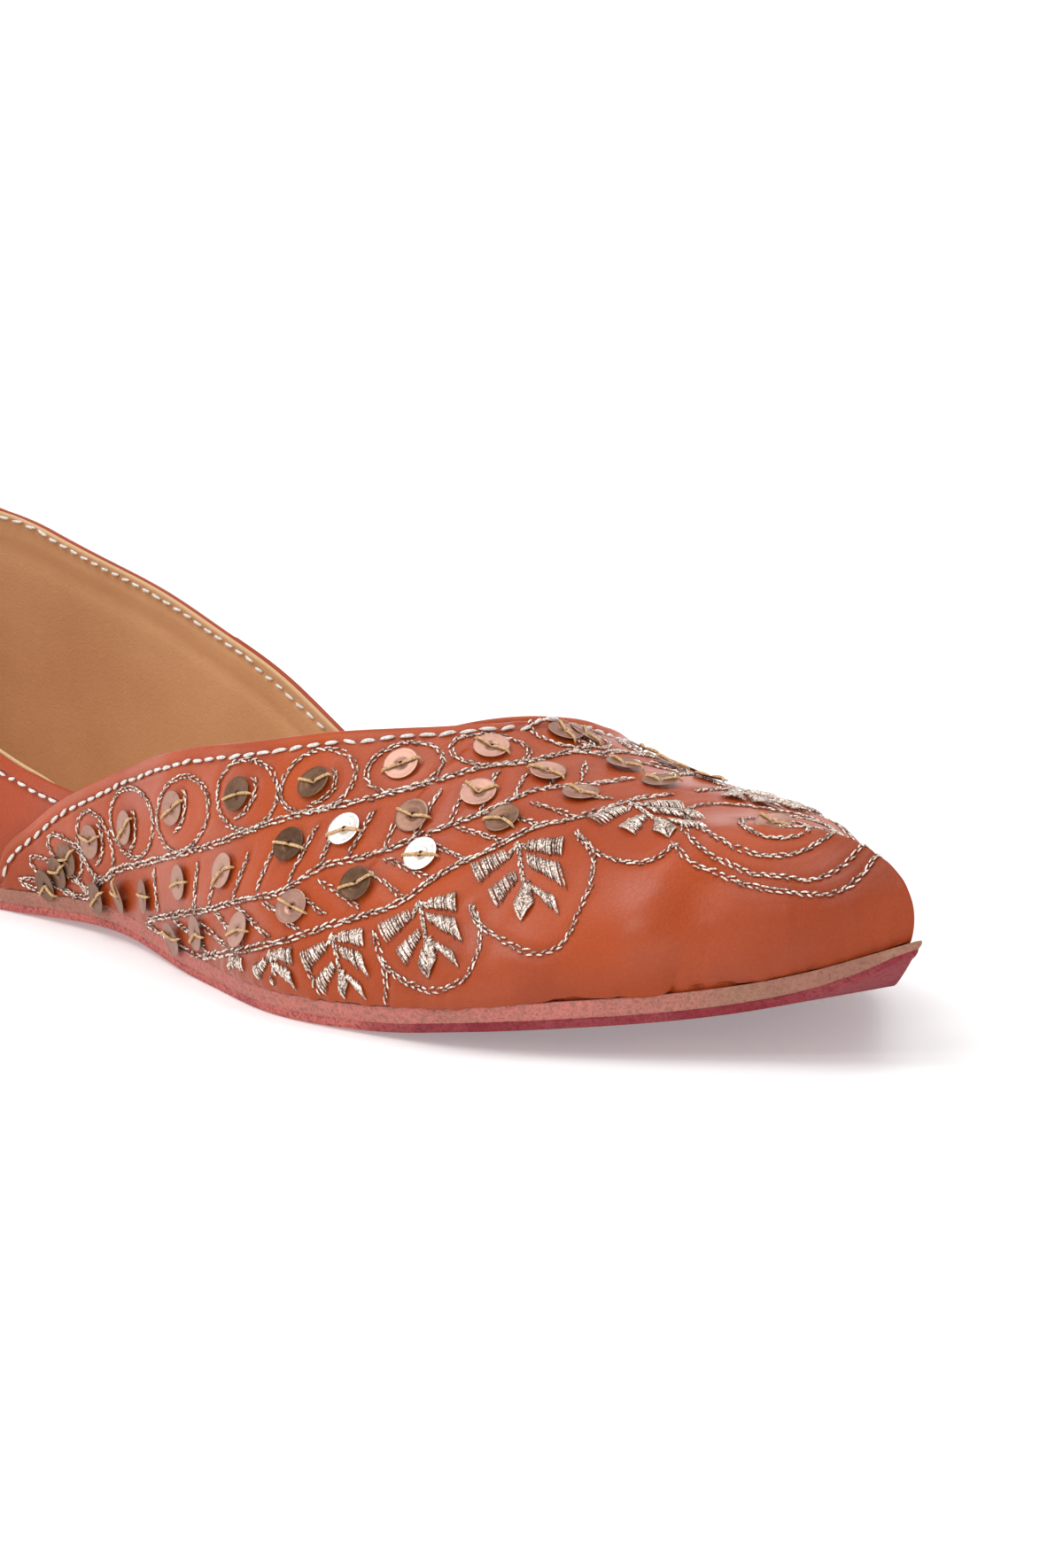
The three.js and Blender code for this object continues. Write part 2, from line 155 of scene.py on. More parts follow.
def outline(s, side, offset, reach=0.0):
    """Walking line moved outwards: s to S_HEEL rounds the heel, to S_TOE runs along the side, to 1 closes the toe.
    Both caps are superellipses: the half width times the cosine to the power 2 / roundness."""
    heel = np.clip(1 - s / S_HEEL, 0, 1) * np.pi / 2
    toe = np.clip((s - S_TOE) / (1 - S_TOE), 0, 1) * np.pi / 2
    x = CAP_HEEL + (CAP_TOE - CAP_HEEL) * (s - S_HEEL) / (S_TOE - S_HEEL)
    x = np.where(s < S_HEEL, CAP_HEEL - (CAP_HEEL + offset) * np.sin(heel), x)
    x = np.where(s > S_TOE, CAP_TOE + (LINE + offset + reach - CAP_TOE) * np.sin(toe) ** (2 / TOE_LONG), x)
    width = BALL * width_of(np.clip(x / LINE, 0, 1), side) + offset
    taper = np.clip(np.cos(heel), 0, 1) ** (2 / HEEL_ROUND) * np.clip(np.cos(toe), 0, 1) ** (2 / TOE_CROSS)
    return x, np.where((s <= 0) | (s >= 1), 0.0, side * width * taper)


def skin(s, t, side, offset=0.0):
    """Point of the upper, t 0 at the sole and 1 on the ridge. Inwards it goes by 1 - cos^(2/wall), upwards by
    sin^(2/roof), with a soft belly just over the sole; past t = 1 it comes down the other side. The outer side of
    the instep lies lower than the inner one, by the fall times 1 - inward^FALL_SPREAD."""
    s, t, side = np.broadcast_arrays(np.asarray(s, float), np.asarray(t, float), np.asarray(side, float))
    side, t = np.where(t > 1, -side, side), np.where(t > 1, 2 - t, t)
    foot_x, foot_y = outline(s, side, OVERHANG + offset)
    seat = underside(foot_x) + SOLE_TOP + SEAT
    share, turn = foot_x / LINE, t * np.pi / 2
    wall, roof = (np.interp(share, ROUNDNESS[:, 0], ROUNDNESS[:, k]) for k in (1, 2))
    inward = np.where(t >= 1, 1, 1 - np.clip(np.cos(turn), 0, 1) ** (2 / wall))
    upward = np.where(t >= 1, 1, np.abs(np.sin(turn)) ** (2 / roof))
    dx, dy = np.clip(foot_x, FAN_HEEL, FAN_TOE) - foot_x, -foot_y
    span = np.hypot(dx, dy) + 1e-9
    belly = OVERHANG * np.sin(np.pi * np.clip(t / OVERHANG_REACH, 0, 1))
    x = foot_x + inward * dx - dx / span * belly
    y = np.where(t >= 1, 0, foot_y + inward * dy - dy / span * belly)
    top = INSTEP * ridge_of(np.clip(x / LINE, 0, 1)) + underside(x) + SOLE_TOP + offset
    fallen = np.where(side > 0, INSTEP * np.interp(x / LINE, *FALL.T) * (1 - inward**FALL_SPREAD), 0)
    return np.stack([x, y, seat + upward * (top - seat - fallen)], -1)


# %% [markdown]
# ## Where the leather is cut
# The quarters and the vamp end at lines drawn on the surface. Each line is a height over the floor for every place
# along the shoe, and a search by halves finds the t where a column of the surface reaches it.

# %% Top edges
WING_END = WING[0, 0] * LINE


def wing_height(x, side):
    return THROAT_TOP * wing_of(np.clip(x / LINE, WING[0, 0], THROAT), side)


def quarter_height(x, side):
    share = np.clip(x / LINE, 0, 1)
    return np.where(share < TOPLINE[-1, 0], HEEL * topline_of(share, side), 0)


def collar_height(x, side):
    return np.maximum(quarter_height(x, side), np.where(x > WING_END, wing_height(x, side), 0))


def cut(s, side, height):
    """The t at which each column of the surface reaches its top edge, by halving the range forty times."""
    low, high = np.zeros(len(s)), np.ones(len(s))
    flank = np.where(s <= 0, INNER, side)
    for _ in range(40):
        middle = (low + high) / 2
        p = skin(s, middle, flank)
        below = p[:, 2] < height(p[:, 0], flank)
        low, high = np.where(below, middle, low), np.where(below, high, middle)
    return np.where(outline(s, side, 0.0)[0] >= THROAT * LINE - 1e-6, 1.0, (low + high) / 2)


print("ridge over the floor at the throat", round(float(skin(0.98 * S_TOE, 1.0, INNER)[2]), 1), "mm")

# %% [markdown]
# ## From grids to closed meshes
# A layer of leather is several grids: its face, its lining side, a rolled edge and the strip under it. Each grid is
# computed as whole arrays. Corners that coincide are welded by rounding to a micrometre, and squares that shrank to
# nothing at the ridge or the toe are dropped, so every piece ends as one closed skin whose faces point outwards.

# %% Grids, welding and normals
def quads(n, m, flip=False):
    """Two triangles for every square of an n by m grid; flip turns the face round."""
    i, j = np.meshgrid(np.arange(n - 1), np.arange(m - 1), indexing="ij")
    a, b, c, d = i * m + j, (i + 1) * m + j, (i + 1) * m + j + 1, i * m + j + 1
    tri = np.concatenate([np.stack([a, b, c], -1).reshape(-1, 3), np.stack([a, c, d], -1).reshape(-1, 3)])
    return tri[:, ::-1] if flip else tri


def weld(patches):
    """Joins grids given as (points, flip): equal corners become one, and triangles with two equal corners go."""
    points = np.concatenate([p.reshape(-1, 3) for p, _ in patches])
    start = np.cumsum([0] + [p.shape[0] * p.shape[1] for p, _ in patches[:-1]])
    tris = np.concatenate([quads(*p.shape[:2], f) + k for (p, f), k in zip(patches, start)])
    _, first, back = np.unique(np.round(points, 3) + 0.0, axis=0, return_index=True, return_inverse=True)
    tris = back.reshape(-1)[tris]
    keep = (tris[:, 0] != tris[:, 1]) & (tris[:, 1] != tris[:, 2]) & (tris[:, 0] != tris[:, 2])
    return points[first], tris[keep]


def vertex_normals(points, tris):
    """Mean of the neighbouring faces' area vectors, made unit length."""
    area = np.cross(points[tris[:, 1]] - points[tris[:, 0]], points[tris[:, 2]] - points[tris[:, 0]])
    total = np.stack([np.bincount(tris.ravel(), np.repeat(area[:, k], 3), len(points)) for k in range(3)], -1)
    return total / (np.linalg.norm(total, axis=1, keepdims=True) + 1e-12)


def piece(name, points, tris, material, slot, replaces=(), **attributes):
    """Makes the mesh from arrays in millimetres, smooth shaded, riding on the shoe's one body."""
    mesh = bpy.data.meshes.new(name)
    mesh.vertices.add(len(points))
    mesh.vertices.foreach_set("co", ((points - (MIDDLE, 0, 0)) / 1000).astype(np.float32).ravel())
    mesh.loops.add(tris.size)
    mesh.loops.foreach_set("vertex_index", tris.astype(np.int32).ravel())
    mesh.polygons.add(len(tris))
    mesh.polygons.foreach_set("loop_start", np.arange(0, tris.size, 3, dtype=np.int32))
    mesh.polygons.foreach_set("use_smooth", np.ones(len(tris), bool))
    for key, values in attributes.items():
        layer = mesh.attributes.new(key, "FLOAT", "POINT")
        layer.data.foreach_set("value", np.asarray(values, np.float32))
    mesh.update(calc_edges=True)
    mesh.validate()
    mesh.materials.append(material)
    obj = bpy.data.objects.new(name, mesh)
    bpy.context.scene.collection.objects.link(obj)
    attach(obj, "root")
    if replaces:
        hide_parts(*replaces)
    print(f"{name}: {len(points)} points, {len(tris)} triangles")
    return obj


# %% [markdown]
# ## Shader maths as expressions
# A finish is mostly arithmetic on masks and noise. Wrapping a socket in a small class lets that be written as plain
# sums, and every other node comes from one method that sets its options first and then its inputs.

# %% A socket that can be added and multiplied
class Sock:
    def __init__(self, tree, out):
        self.tree, self.out = tree, out

    def node(self, kind, settings=None, out=0, **inputs):
        n = self.tree.nodes.new("ShaderNode" + kind)
        for key, value in (settings or {}).items():
            if key == "stops":
                ramp = n.color_ramp.elements
                while len(ramp) < len(value):
                    ramp.new(0.5)
                for stop, (where, colour) in zip(ramp, value):
                    stop.position, stop.color = where, (*colour, 1)
            else:
                setattr(n, key, value)
        for key, value in inputs.items():
            put(self.tree, n.inputs[int(key[1:]) if key[1:].isdigit() else key.replace("_", " ")], value)
        return Sock(self.tree, n.outputs[out])

    def math(self, operation, *values):
        return self.node("Math", {"operation": operation}, **{f"i{k}": v for k, v in enumerate(values)})

    def __add__(self, other): return self.math("ADD", self, other)
    def __radd__(self, other): return self.math("ADD", other, self)
    def __sub__(self, other): return self.math("SUBTRACT", self, other)
    def __rsub__(self, other): return self.math("SUBTRACT", other, self)
    def __mul__(self, other): return self.math("MULTIPLY", self, other)

    def step(self, low, high):
        """Smooth rise from 0 at low to 1 at high."""
        return self.node("MapRange", {"interpolation_type": "SMOOTHSTEP"}, i0=self, i1=low, i2=high)

    def mix(self, a, b):
        """Colour a where this value is 0 and b where it is 1."""
        return self.node("Mix", {"data_type": "RGBA"}, out=2, i0=self, i6=a, i7=b)

    def noise(self, scale, detail, rough=0.6):
        """Cloudy noise in object coordinates; scale counts its features in a metre."""
        return self.node("TexNoise", Vector=self.node("TexCoord", out=3), Scale=scale, Detail=detail, Roughness=rough)

    def attribute(self, name):
        return self.node("Attribute", {"attribute_name": name}, out=2)

    def bump(self, strength, millimetres):
        return self.node("Bump", Strength=strength, Distance=millimetres / 1000, Height=self)


def put(tree, socket, value):
    if isinstance(value, Sock):
        tree.links.new(value.out, socket)
    elif isinstance(value, (tuple, list)) and len(value) == 3 and socket.type == "RGBA":
        socket.default_value = (*value, 1)
    else:
        socket.default_value = value


def finish(name, build, **fixed):
    """A new material: build returns shader inputs made from a helper socket; fixed values are set directly."""
    material = bpy.data.materials.new(name)
    material.use_nodes = True
    tree = material.node_tree
    shader = tree.nodes["Principled BSDF"]
    for key, value in {**fixed, **build(Sock(tree, None))}.items():
        put(tree, shader.inputs[key.replace("_", " ")], value)
    return material


# %% [markdown]
# ## Leather in three tones
# The shoe is saddle tan outside, a paler tan inside, and rough buffalo hide underneath. One recipe serves the smooth
# ones: a broad mottling from the dye bath, pores from Voronoi cells half a millimetre across, and fine wrinkles
# between them. Attributes of the mesh say where leather is pressed by thread, where painted shade darkens it near
# the sole and at the toe, or where it is cut and raw, and the polish lies in patches as thin coat. The sole is
# another recipe, because a knife cut shows fibres, not pores.

# %% Leather finishes
PORE = 0.10  # depth of the relief in millimetres


def leather(name, light, dark, rough, coat=0.0):
    def build(s):
        at = s.node("TexCoord", out=3)
        fine = s.noise(900.0, 4.0)
        cells = s.node("TexVoronoi", {"feature": "SMOOTH_F1"}, Vector=at, Scale=1900.0, Smoothness=0.6)
        grain = s.node("TexVoronoi", {"feature": "DISTANCE_TO_EDGE"}, Vector=at, Scale=1150.0).step(0.0, 0.12)
        pressed = s.attribute("pressed")
        tone = s.noise(45.0, 3.0, 0.55).step(0.25, 0.75) * 0.55 + fine * 0.35 + grain * 0.10
        colour = (pressed * 0.55).mix(tone.mix(dark, light), tuple(0.45 * c for c in dark))
        # Painted shade: this attribute darkens the leather near the sole and at the front of the toe, where shade
        # falls.
        colour = (s.attribute("deep") * 0.75).mix(colour, tuple(0.50 * c for c in dark))
        colour = s.attribute("raw").mix(colour, (0.62, 0.42, 0.24))
        bump = (cells * 0.6 + fine * 0.5 + grain * 0.5).bump(0.42, PORE)
        patch = s.noise(60.0, 1.0, 0.5).step(0.42, 0.66)
        gloss = rough + fine * 0.10 + pressed * 0.15 - patch * 0.09
        return {"Base_Color": colour, "Roughness": gloss, "Normal": bump, "Coat_Weight": patch * 2.5 * coat + coat}

    return finish(name, build, IOR=1.46, Specular_IOR_Level=0.24, Coat_Roughness=0.30)


vamp_leather = leather("saddle_leather", (0.46, 0.073, 0.011), (0.34, 0.045, 0.007), 0.42, coat=0.11)
quarter_leather = leather("quarter_leather", (0.40, 0.056, 0.009), (0.30, 0.038, 0.006), 0.42, coat=0.05)
lining_leather = leather("lining_leather", (0.68, 0.39, 0.205), (0.56, 0.295, 0.14), 0.52)

# %% [markdown]
# ## A layer of leather
# Cut leather edges are not sharp: the vamp is folded over and stitched, so its top is a half round. The face and the
# back are the last's surface at two distances, the half round is swept along the top edge between them, and strips
# close the foot of the wall. Behind the throat the wall stands open in a long U; before it the face runs over the
# ridge from one side to the other.

# %% A wall of leather with a rolled top edge
def s_at(x):
    """The s of a place x millimetres from the heel, on the side of the shoe."""
    return S_HEEL + (S_TOE - S_HEEL) * (x - CAP_HEEL) / (CAP_TOE - CAP_HEEL)


COLLAR_S = s_at(THROAT * LINE)


def columns(start, count, fine=1.0):
    """Places round the outline up to the throat, crowded towards it, and from the throat to the toe."""
    u = 1 - (1 - np.linspace(0, 1, count)) ** 1.5
    begin = start or S_HEEL
    collar = begin + (COLLAR_S - begin) * u
    if not start:
        collar = np.r_[np.linspace(0, S_HEEL, 25)[:-1], collar]
    front = np.r_[np.linspace(COLLAR_S, S_TOE, int(20 * fine))[:-1], np.linspace(S_TOE, 1.0, int(64 * fine))]
    return collar, front


def edge_loop(near, far, closed):
    """Top edge as one path: near wing, throat, far wing; or, for a whole collar, round from throat to throat."""
    return np.concatenate([far[::-1], near[1:]]) if closed else np.concatenate([near, far[-2::-1]])


def along(path, closed):
    """Unit tangents of a path, from its neighbours on both sides."""
    t = np.roll(path, -1, 0) - np.roll(path, 1, 0) if closed else np.gradient(path, axis=0)
    if closed:
        t[0] = t[-1] = path[1] - path[-2]
    return t / (np.linalg.norm(t, axis=1, keepdims=True) + 1e-12)


def shell(start, count, rows, height, face, back, roll=1.0, fine=1.0):
    """Closed wall between two offsets of the last; returns points, triangles, and the path of its top edge."""
    collar, front = columns(start, count, fine)
    share = np.linspace(0, 1, rows) ** 1.15
    patches, edges = [], {}
    for side in (INNER, OUTER):
        t = cut(collar, side, height)[:, None] * share
        out, lin = skin(collar[:, None], t, side, face), skin(collar[:, None], t, side, back)
        edges[side] = (out[:, -1], lin[:, -1])
        far = side == OUTER
        patches += [(out, far), (lin, not far), (np.stack([lin[:, 0], out[:, 0]], 1), far)]
        if start:
            patches.append((np.stack([lin[0], out[0]], 0), far))
    over = np.r_[share, 2 - share[-2::-1]]
    out, lin = skin(front[:, None], over, INNER, face), skin(front[:, None], over, INNER, back)
    patches += [(out, False), (lin, True)]
    patches += [(np.stack([lin[:, 0], out[:, 0]], 1), False), (np.stack([out[:, -1], lin[:, -1]], 1), False)]
    closed = not start
    a = edge_loop(edges[INNER][0], edges[OUTER][0], closed)
    b = edge_loop(edges[INNER][1], edges[OUTER][1], closed)
    half = (a - b) / 2
    up = np.cross(half, along((a + b) / 2, closed))
    up *= roll * np.linalg.norm(half, axis=1, keepdims=True) / (np.linalg.norm(up, axis=1, keepdims=True) + 1e-12)
    phi = np.linspace(0, np.pi, 9)[:, None]
    arc = ((a + b) / 2)[:, None] + half[:, None] * np.cos(phi) + up[:, None] * np.sin(phi)
    arc[:, 0], arc[:, -1] = a, b
    patches.append((arc, False))
    points, tris = weld(patches)
    return points, tris, a


def distance(points, path, block=4000):
    """Shortest distance from each point to the samples of a path: |a|^2 + |b|^2 - 2ab, in blocks to spare memory."""
    squares, found = (path**2).sum(1), []
    for part in np.split(points, np.arange(block, len(points), block)):
        gap = (part**2).sum(1)[:, None] + squares - 2 * part @ path.T
        found.append(np.sqrt(np.maximum(gap.min(1), 0)))
    return np.concatenate(found)


def bell(x, centre, width):
    return np.exp(-(((x - centre) / width) ** 2))


# %% [markdown]
# ## Quarters and vamp
# The quarters are the low sides and back of the shoe; the vamp covers the toes, and its wings run back over the
# quarters and swoop down to the sole. Both edges are turned in over a cord and stitched down, which leaves a round
# bead, then a shallow valley under the thread. The valley is a pair of bell curves of the distance to the edge.

# %% Quarter leather, under the vamp
VAMP_BACK, QUARTER_FACE, QUARTER_BACK, LINING_BACK = -1.45, -1.5, -2.35, -3.1
VAMP_HEM, QUARTER_HEM = 1.65, 2.0  # from the folded edge to its stitches


def quarter_edge(x, side):
    """The quarter's own edge behind the wing; under the vamp it stays 0.7 mm lower than the vamp's."""
    own = quarter_height(x, side)
    return np.where(own > wing_height(x, side), own, collar_height(x, side) - 0.7)


points, tris, quarter_path = shell(0, 110, 40, quarter_edge, QUARTER_FACE, QUARTER_BACK, roll=1.2)
drop = distance(points, quarter_path)
normals = vertex_normals(points, tris)
outside = (normals * (points - (120, 0, 15)))[:, :2].sum(1) > 0
bead = 0.42 * bell(drop, 0.9, 0.75) - 0.22 * bell(drop, QUARTER_HEM, 0.35) + 0.10 * bell(drop, 3.0, 0.6)
behind = np.clip((12 - points[:, 0]) / 6, 0, 1)
seam = 0.30 * bell(np.abs(points[:, 1]), 1.3, 0.8) - 0.45 * bell(points[:, 1], 0, 0.35)
seam *= behind * np.clip(drop / 1.5, 0, 1)
points = points + normals * ((bead + seam) * outside)[:, None]
pressed = 0.7 * bell(drop, QUARTER_HEM, 0.4) + 0.9 * behind * bell(points[:, 1], 0, 0.35)
# Painted shade: the quarters are darkened towards the sole, where shade falls.
deep = 0.35 * np.clip(1 - (points[:, 2] - 4) / 12, 0, 1)
piece("quarters", points, tris, quarter_leather, "quarter_leather", ["upper"], pressed=pressed, deep=deep)
quarter_ground = BVHTree.FromPolygons(points.tolist(), tris.tolist())

# %% [markdown]
# ## Lining
# The lining is the same wall further in. Its cut edge stands a little proud of the quarters, so it shows as a pale
# line, and it slips under the folded edge of the vamp further forward.

# %% Lining, from the collar down to the insole
def lining_edge(x, side):
    """0.6 mm over the collar, falling to 0.25 mm under it further forward, and on the outer side later."""
    start, run = np.where(side < 0, 97, 145), np.where(side < 0, 8, 30)
    return collar_height(x, side) + (0.60 - 0.85 * np.clip((x - start) / run, 0, 1))


points, tris, lining_top = shell(0, 110, 40, lining_edge, QUARTER_BACK, LINING_BACK, roll=0.8)
drop = distance(points, lining_top)
normals = vertex_normals(points, tris)
ridge = 0.15 * bell(drop, 2.6, 0.8) - 0.12 * bell(drop, 1.4, 0.35) - 0.30 * bell(drop, 6.0, 1.0)
points = points + normals * ridge[:, None]
pressed, raw = 0.4 * bell(drop, 1.4, 0.35), bell(drop, 0, 0.6)
piece("lining", points, tris, lining_leather, "lining_leather", pressed=pressed, raw=raw)
lining_ground = BVHTree.FromPolygons(points.tolist(), tris.tolist())

# %% [markdown]
# ## The embroiderer's chart
# The vamp is sewn flat on a machine before it is stretched over the last, and the pattern is an old one of the craft:
# a row of ovals along the opening, stems with a sequin in the crook of every pair of twigs, leaves hanging in
# scallops, and rings round a sequin on the toe. A place on the leather is a pair: s, how far round the shoe, and t,
# how far up from the sole to the ridge. One side is charted, and the other side of the shoe uses the same chart.

# %% Long lines, scallops and twigs
STEMS = [
    [(0.428, 0.009), (0.449, 0.063), (0.479, 0.115), (0.516, 0.2), (0.551, 0.303), (0.581, 0.431), (0.604, 0.533),
     (0.624, 0.637), (0.637, 0.732), (0.646, 0.819), (0.654, 0.903), (0.655, 0.977), (0.661, 1.0)],
    [(0.485, 0.02), (0.525, 0.106), (0.555, 0.181), (0.586, 0.286), (0.601, 0.343), (0.613, 0.424), (0.629, 0.496),
     (0.637, 0.542), (0.646, 0.602), (0.658, 0.689), (0.663, 0.736), (0.669, 0.836), (0.677, 0.903), (0.683, 0.99)],
    [(0.541, 0.012), (0.57, 0.101), (0.596, 0.188), (0.622, 0.294), (0.631, 0.341), (0.654, 0.452), (0.664, 0.552),
     (0.677, 0.642), (0.687, 0.739), (0.696, 0.799), (0.7, 0.856), (0.701, 0.916), (0.704, 0.99)]]
SCALLOPS = [
    [(0.486, 0.012), (0.502, 0.012), (0.524, 0.01), (0.541, 0.022)],
    [(0.622, 0.219), (0.628, 0.169), (0.634, 0.087)],
    [(0.649, 0.361), (0.657, 0.298), (0.664, 0.217), (0.667, 0.097)],
    [(0.657, 0.291), (0.671, 0.227), (0.683, 0.184), (0.693, 0.187), (0.7, 0.251), (0.698, 0.385), (0.685, 0.488)],
    [(0.685, 0.482), (0.694, 0.435), (0.711, 0.368), (0.727, 0.314), (0.737, 0.338), (0.738, 0.421), (0.736, 0.515),
     (0.729, 0.625), (0.72, 0.696), (0.703, 0.756)],
    [(0.703, 0.756), (0.724, 0.689), (0.741, 0.656), (0.755, 0.659), (0.759, 0.709), (0.759, 0.753)]]
TWIGS = np.array([  # s and t of the foot on the stem, then of the tip
    (0.465, 0.044, 0.464, 0.067), (0.499, 0.064, 0.494, 0.132), (0.515, 0.088, 0.516, 0.123),
    (0.536, 0.133, 0.536, 0.228), (0.549, 0.176, 0.552, 0.226), (0.569, 0.235, 0.572, 0.341),
    (0.584, 0.298, 0.586, 0.407), (0.601, 0.362, 0.602, 0.483), (0.612, 0.432, 0.611, 0.493),
    (0.622, 0.477, 0.621, 0.575), (0.634, 0.525, 0.632, 0.586), (0.642, 0.589, 0.639, 0.702),
    (0.652, 0.656, 0.645, 0.756), (0.66, 0.709, 0.65, 0.816), (0.666, 0.783, 0.658, 0.856),
    (0.671, 0.86, 0.662, 0.93), (0.675, 0.923, 0.663, 0.97), (0.516, 0.074, 0.549, 0.063),
    (0.541, 0.118, 0.569, 0.12), (0.556, 0.174, 0.581, 0.162), (0.573, 0.232, 0.6, 0.226),
    (0.591, 0.29, 0.615, 0.282), (0.604, 0.353, 0.625, 0.345), (0.615, 0.403, 0.638, 0.398),
    (0.632, 0.476, 0.654, 0.458), (0.636, 0.515, 0.661, 0.522), (0.644, 0.589, 0.669, 0.595),
    (0.656, 0.656, 0.678, 0.669), (0.664, 0.732, 0.685, 0.746), (0.673, 0.799, 0.695, 0.806),
    (0.678, 0.873, 0.696, 0.906)])

# %% [markdown]
# ## Motifs
# An oval, a leaf or a sequin has one anchor on the leather, and its drawing is in millimetres round that anchor. The
# arcs and cups on the toe are drawn as seen from above, in millimetres from the heel and from the middle line.

# %% Ovals, leaves, sequins and toe rings
OVALS = np.array([  # s, t of the centre, then two half axes, each as millimetres towards the toe and up the leather
    (0.643, 0.983, 3.1, 3.1, 2.5, -1.8), (0.639, 0.846, 4.0, 3.5, 2.4, -2.3), (0.62, 0.691, 4.1, 3.5, 2.6, -3.2),
    (0.59, 0.543, 5.2, 2.9, 2.8, -4.2), (0.557, 0.405, 6.2, 1.3, 2.7, -4.8), (0.515, 0.267, 7.6, 1.6, 1.7, -5.1),
    (0.47, 0.167, 7.7, 0.3, 0.5, -4.9), (0.437, 0.101, 3.3, -4.5, 4.6, 1.4), (0.417, 0.064, 6.0, -3.1, 2.8, 1.5),
    (0.406, 0.035, 7.5, -1.7, 1.5, 1.4), (0.397, 0.012, 7.4, -0.3, 0.5, 0.8)])
LEAVES = np.array([  # s, t of the root, size, turn in degrees
    (0.705, 0.916, 1.05, 28), (0.686, 0.676, 1.1, 0), (0.662, 0.462, 1.0, 0), (0.632, 0.312, 0.84, -6),
    (0.604, 0.192, 0.74, -12), (0.575, 0.095, 0.62, -16)])
PETALS = np.array([  # root, then the two far corners, in millimetres towards the toe and up
    (1.1, 0.0, 4.8, 3.0, 7.1, 0.0), (2.3, -1.7, 7.4, -0.7, 11.1, -3.8), (6.3, -5.0, 10.0, -5.2, 12.6, -7.2),
    (5.1, -4.4, 5.5, -7.8, 8.4, -9.7), (5.1, -4.4, 8.3, -6.8, 8.4, -9.7), (3.1, -3.7, 0.6, -7.0, 3.8, -9.0),
    (0.0, -1.6, -4.5, -4.5, -1.1, -6.7)])
VEINS = np.array([(0.0, 0.0, 3.2, -3.2), (3.2, -3.2, 6.6, -6.6), (0.0, 0.0, 0.2, -2.2), (0.0, 0.0, 2.4, -0.4)])
SEQUINS = np.array([  # s, t, tone: 0 smoked, 0.5 copper, 1 pearl
    (0.643, 0.99, 0.45), (0.639, 0.849, 0.5), (0.619, 0.689, 0.5), (0.59, 0.536, 0.15), (0.553, 0.393, 0.15),
    (0.509, 0.264, 0.45), (0.465, 0.153, 0.5), (0.434, 0.105, 0.42), (0.416, 0.068, 0.26), (0.408, 0.043, 0.22),
    (0.397, 0.018, 0.2), (0.439, 0.015, 0.24), (0.46, 0.035, 0.35), (0.486, 0.07, 0.4), (0.522, 0.162, 0.5),
    (0.558, 0.264, 0.55), (0.594, 0.419, 0.05), (0.615, 0.513, 1.0), (0.637, 0.619, 0.3), (0.653, 0.746, 0.5),
    (0.663, 0.89, 0.5), (0.671, 1.0, 0.4), (0.517, 0.03, 0.35), (0.541, 0.092, 0.4), (0.58, 0.191, 0.5),
    (0.609, 0.322, 0.5), (0.632, 0.438, 0.1), (0.65, 0.559, 0.95), (0.671, 0.722, 0.25), (0.684, 0.883, 0.5),
    (0.692, 1.0, 0.4)])
RING = (230.0, -1.5, 11.9, 8.4)  # the ring round the toe sequin: its centre, then its half axes
TOE_ARCS = [  # along and across, seen from above
    [(223.9, 9.8), (229.1, 12.4), (232.5, 12.0), (238.8, 9.5), (242.0, 7.8), (244.6, 6.1), (246.0, 4.5),
     (247.0, 2.6), (247.3, 0)],
    [(226.3, 13.7), (229.9, 14.4), (233.6, 12.9), (237.7, 11.4), (243.4, 8.4), (246.5, 6.3), (248.6, 4.3),
     (249.7, 2.4), (250.0, 0)]]
TOE_CUPS = [
    [(227.0, 2.4), (230.2, 5.2), (233.7, 6.0), (236.6, 5.2), (238.8, 2.6)],
    [(227.0, 2.2), (229.6, -0.6), (232.6, -1.8), (235.8, -1.0), (238.6, 1.6)]]
TOE_SEQUIN = (232.2, -1.6)

# %% [markdown]
# ## Laying the chart on the leather
# A long line runs through its places as a smooth curve in space. A small motif is drawn in millimetres on the flat
# plane that touches the leather at its anchor, then pushed straight down until it meets the surface, as if stamped.
# Blender's BVH tree answers both questions, the nearest place on a mesh and where a ray first meets it.

# %% Curves, landing and frames
def through(p, gap=0.6):
    """Smooth path through points: each coordinate is a natural cubic curve of the length walked so far."""
    walked = np.r_[0, np.cumsum(np.linalg.norm(np.diff(p, axis=0), axis=1))]
    at = np.linspace(0, walked[-1], max(int(walked[-1] / gap), 4))
    return np.stack([spline(walked, p[:, k])(at) for k in range(3)], -1)


def land(ground, points, push=None):
    """Places and normals where points meet a mesh: the nearest place, or the first one met straight along push."""
    if push is None:
        found = [ground.find_nearest(Vector(p)) for p in points]
    else:
        found = [ground.ray_cast(Vector(p - 30 * push), Vector(push)) for p in points]
    miss = (np.nan, np.nan, np.nan)
    return np.array([f[0] or miss for f in found]), np.array([f[1] or miss for f in found])


def unit(v):
    return v / (np.linalg.norm(v, axis=-1, keepdims=True) + 1e-12)


def anchor(s, t, side):
    """Frame on the leather: a point, unit vectors towards the toe and up the leather, and the outward normal."""
    e, p = 0.004, skin(s, t, side)
    up = skin(s, min(t + e, 1.0), side) - skin(s, t - e, side)
    n = unit(np.cross(skin(s + e, t, side) - skin(s - e, t, side), up))
    n = n * np.sign(n @ (p - (p[0], 0, 5)))
    u = unit(np.array([1.0, 0, 0]) - n * n[0])
    v = np.cross(n, u)
    return p, u, v * np.sign(v @ up), n


def stamp(ground, drawing, frame):
    """Motif [k, 2] in millimetres on the plane of a frame, pushed onto the leather."""
    p, u, v, n = frame
    return land(ground, p + drawing[:, :1] * u + drawing[:, 1:] * v, -n)


def from_above(plan, side):
    plan = np.array(plan)
    return np.c_[plan[:, 0], side * plan[:, 1], np.full(len(plan), 20.0)]


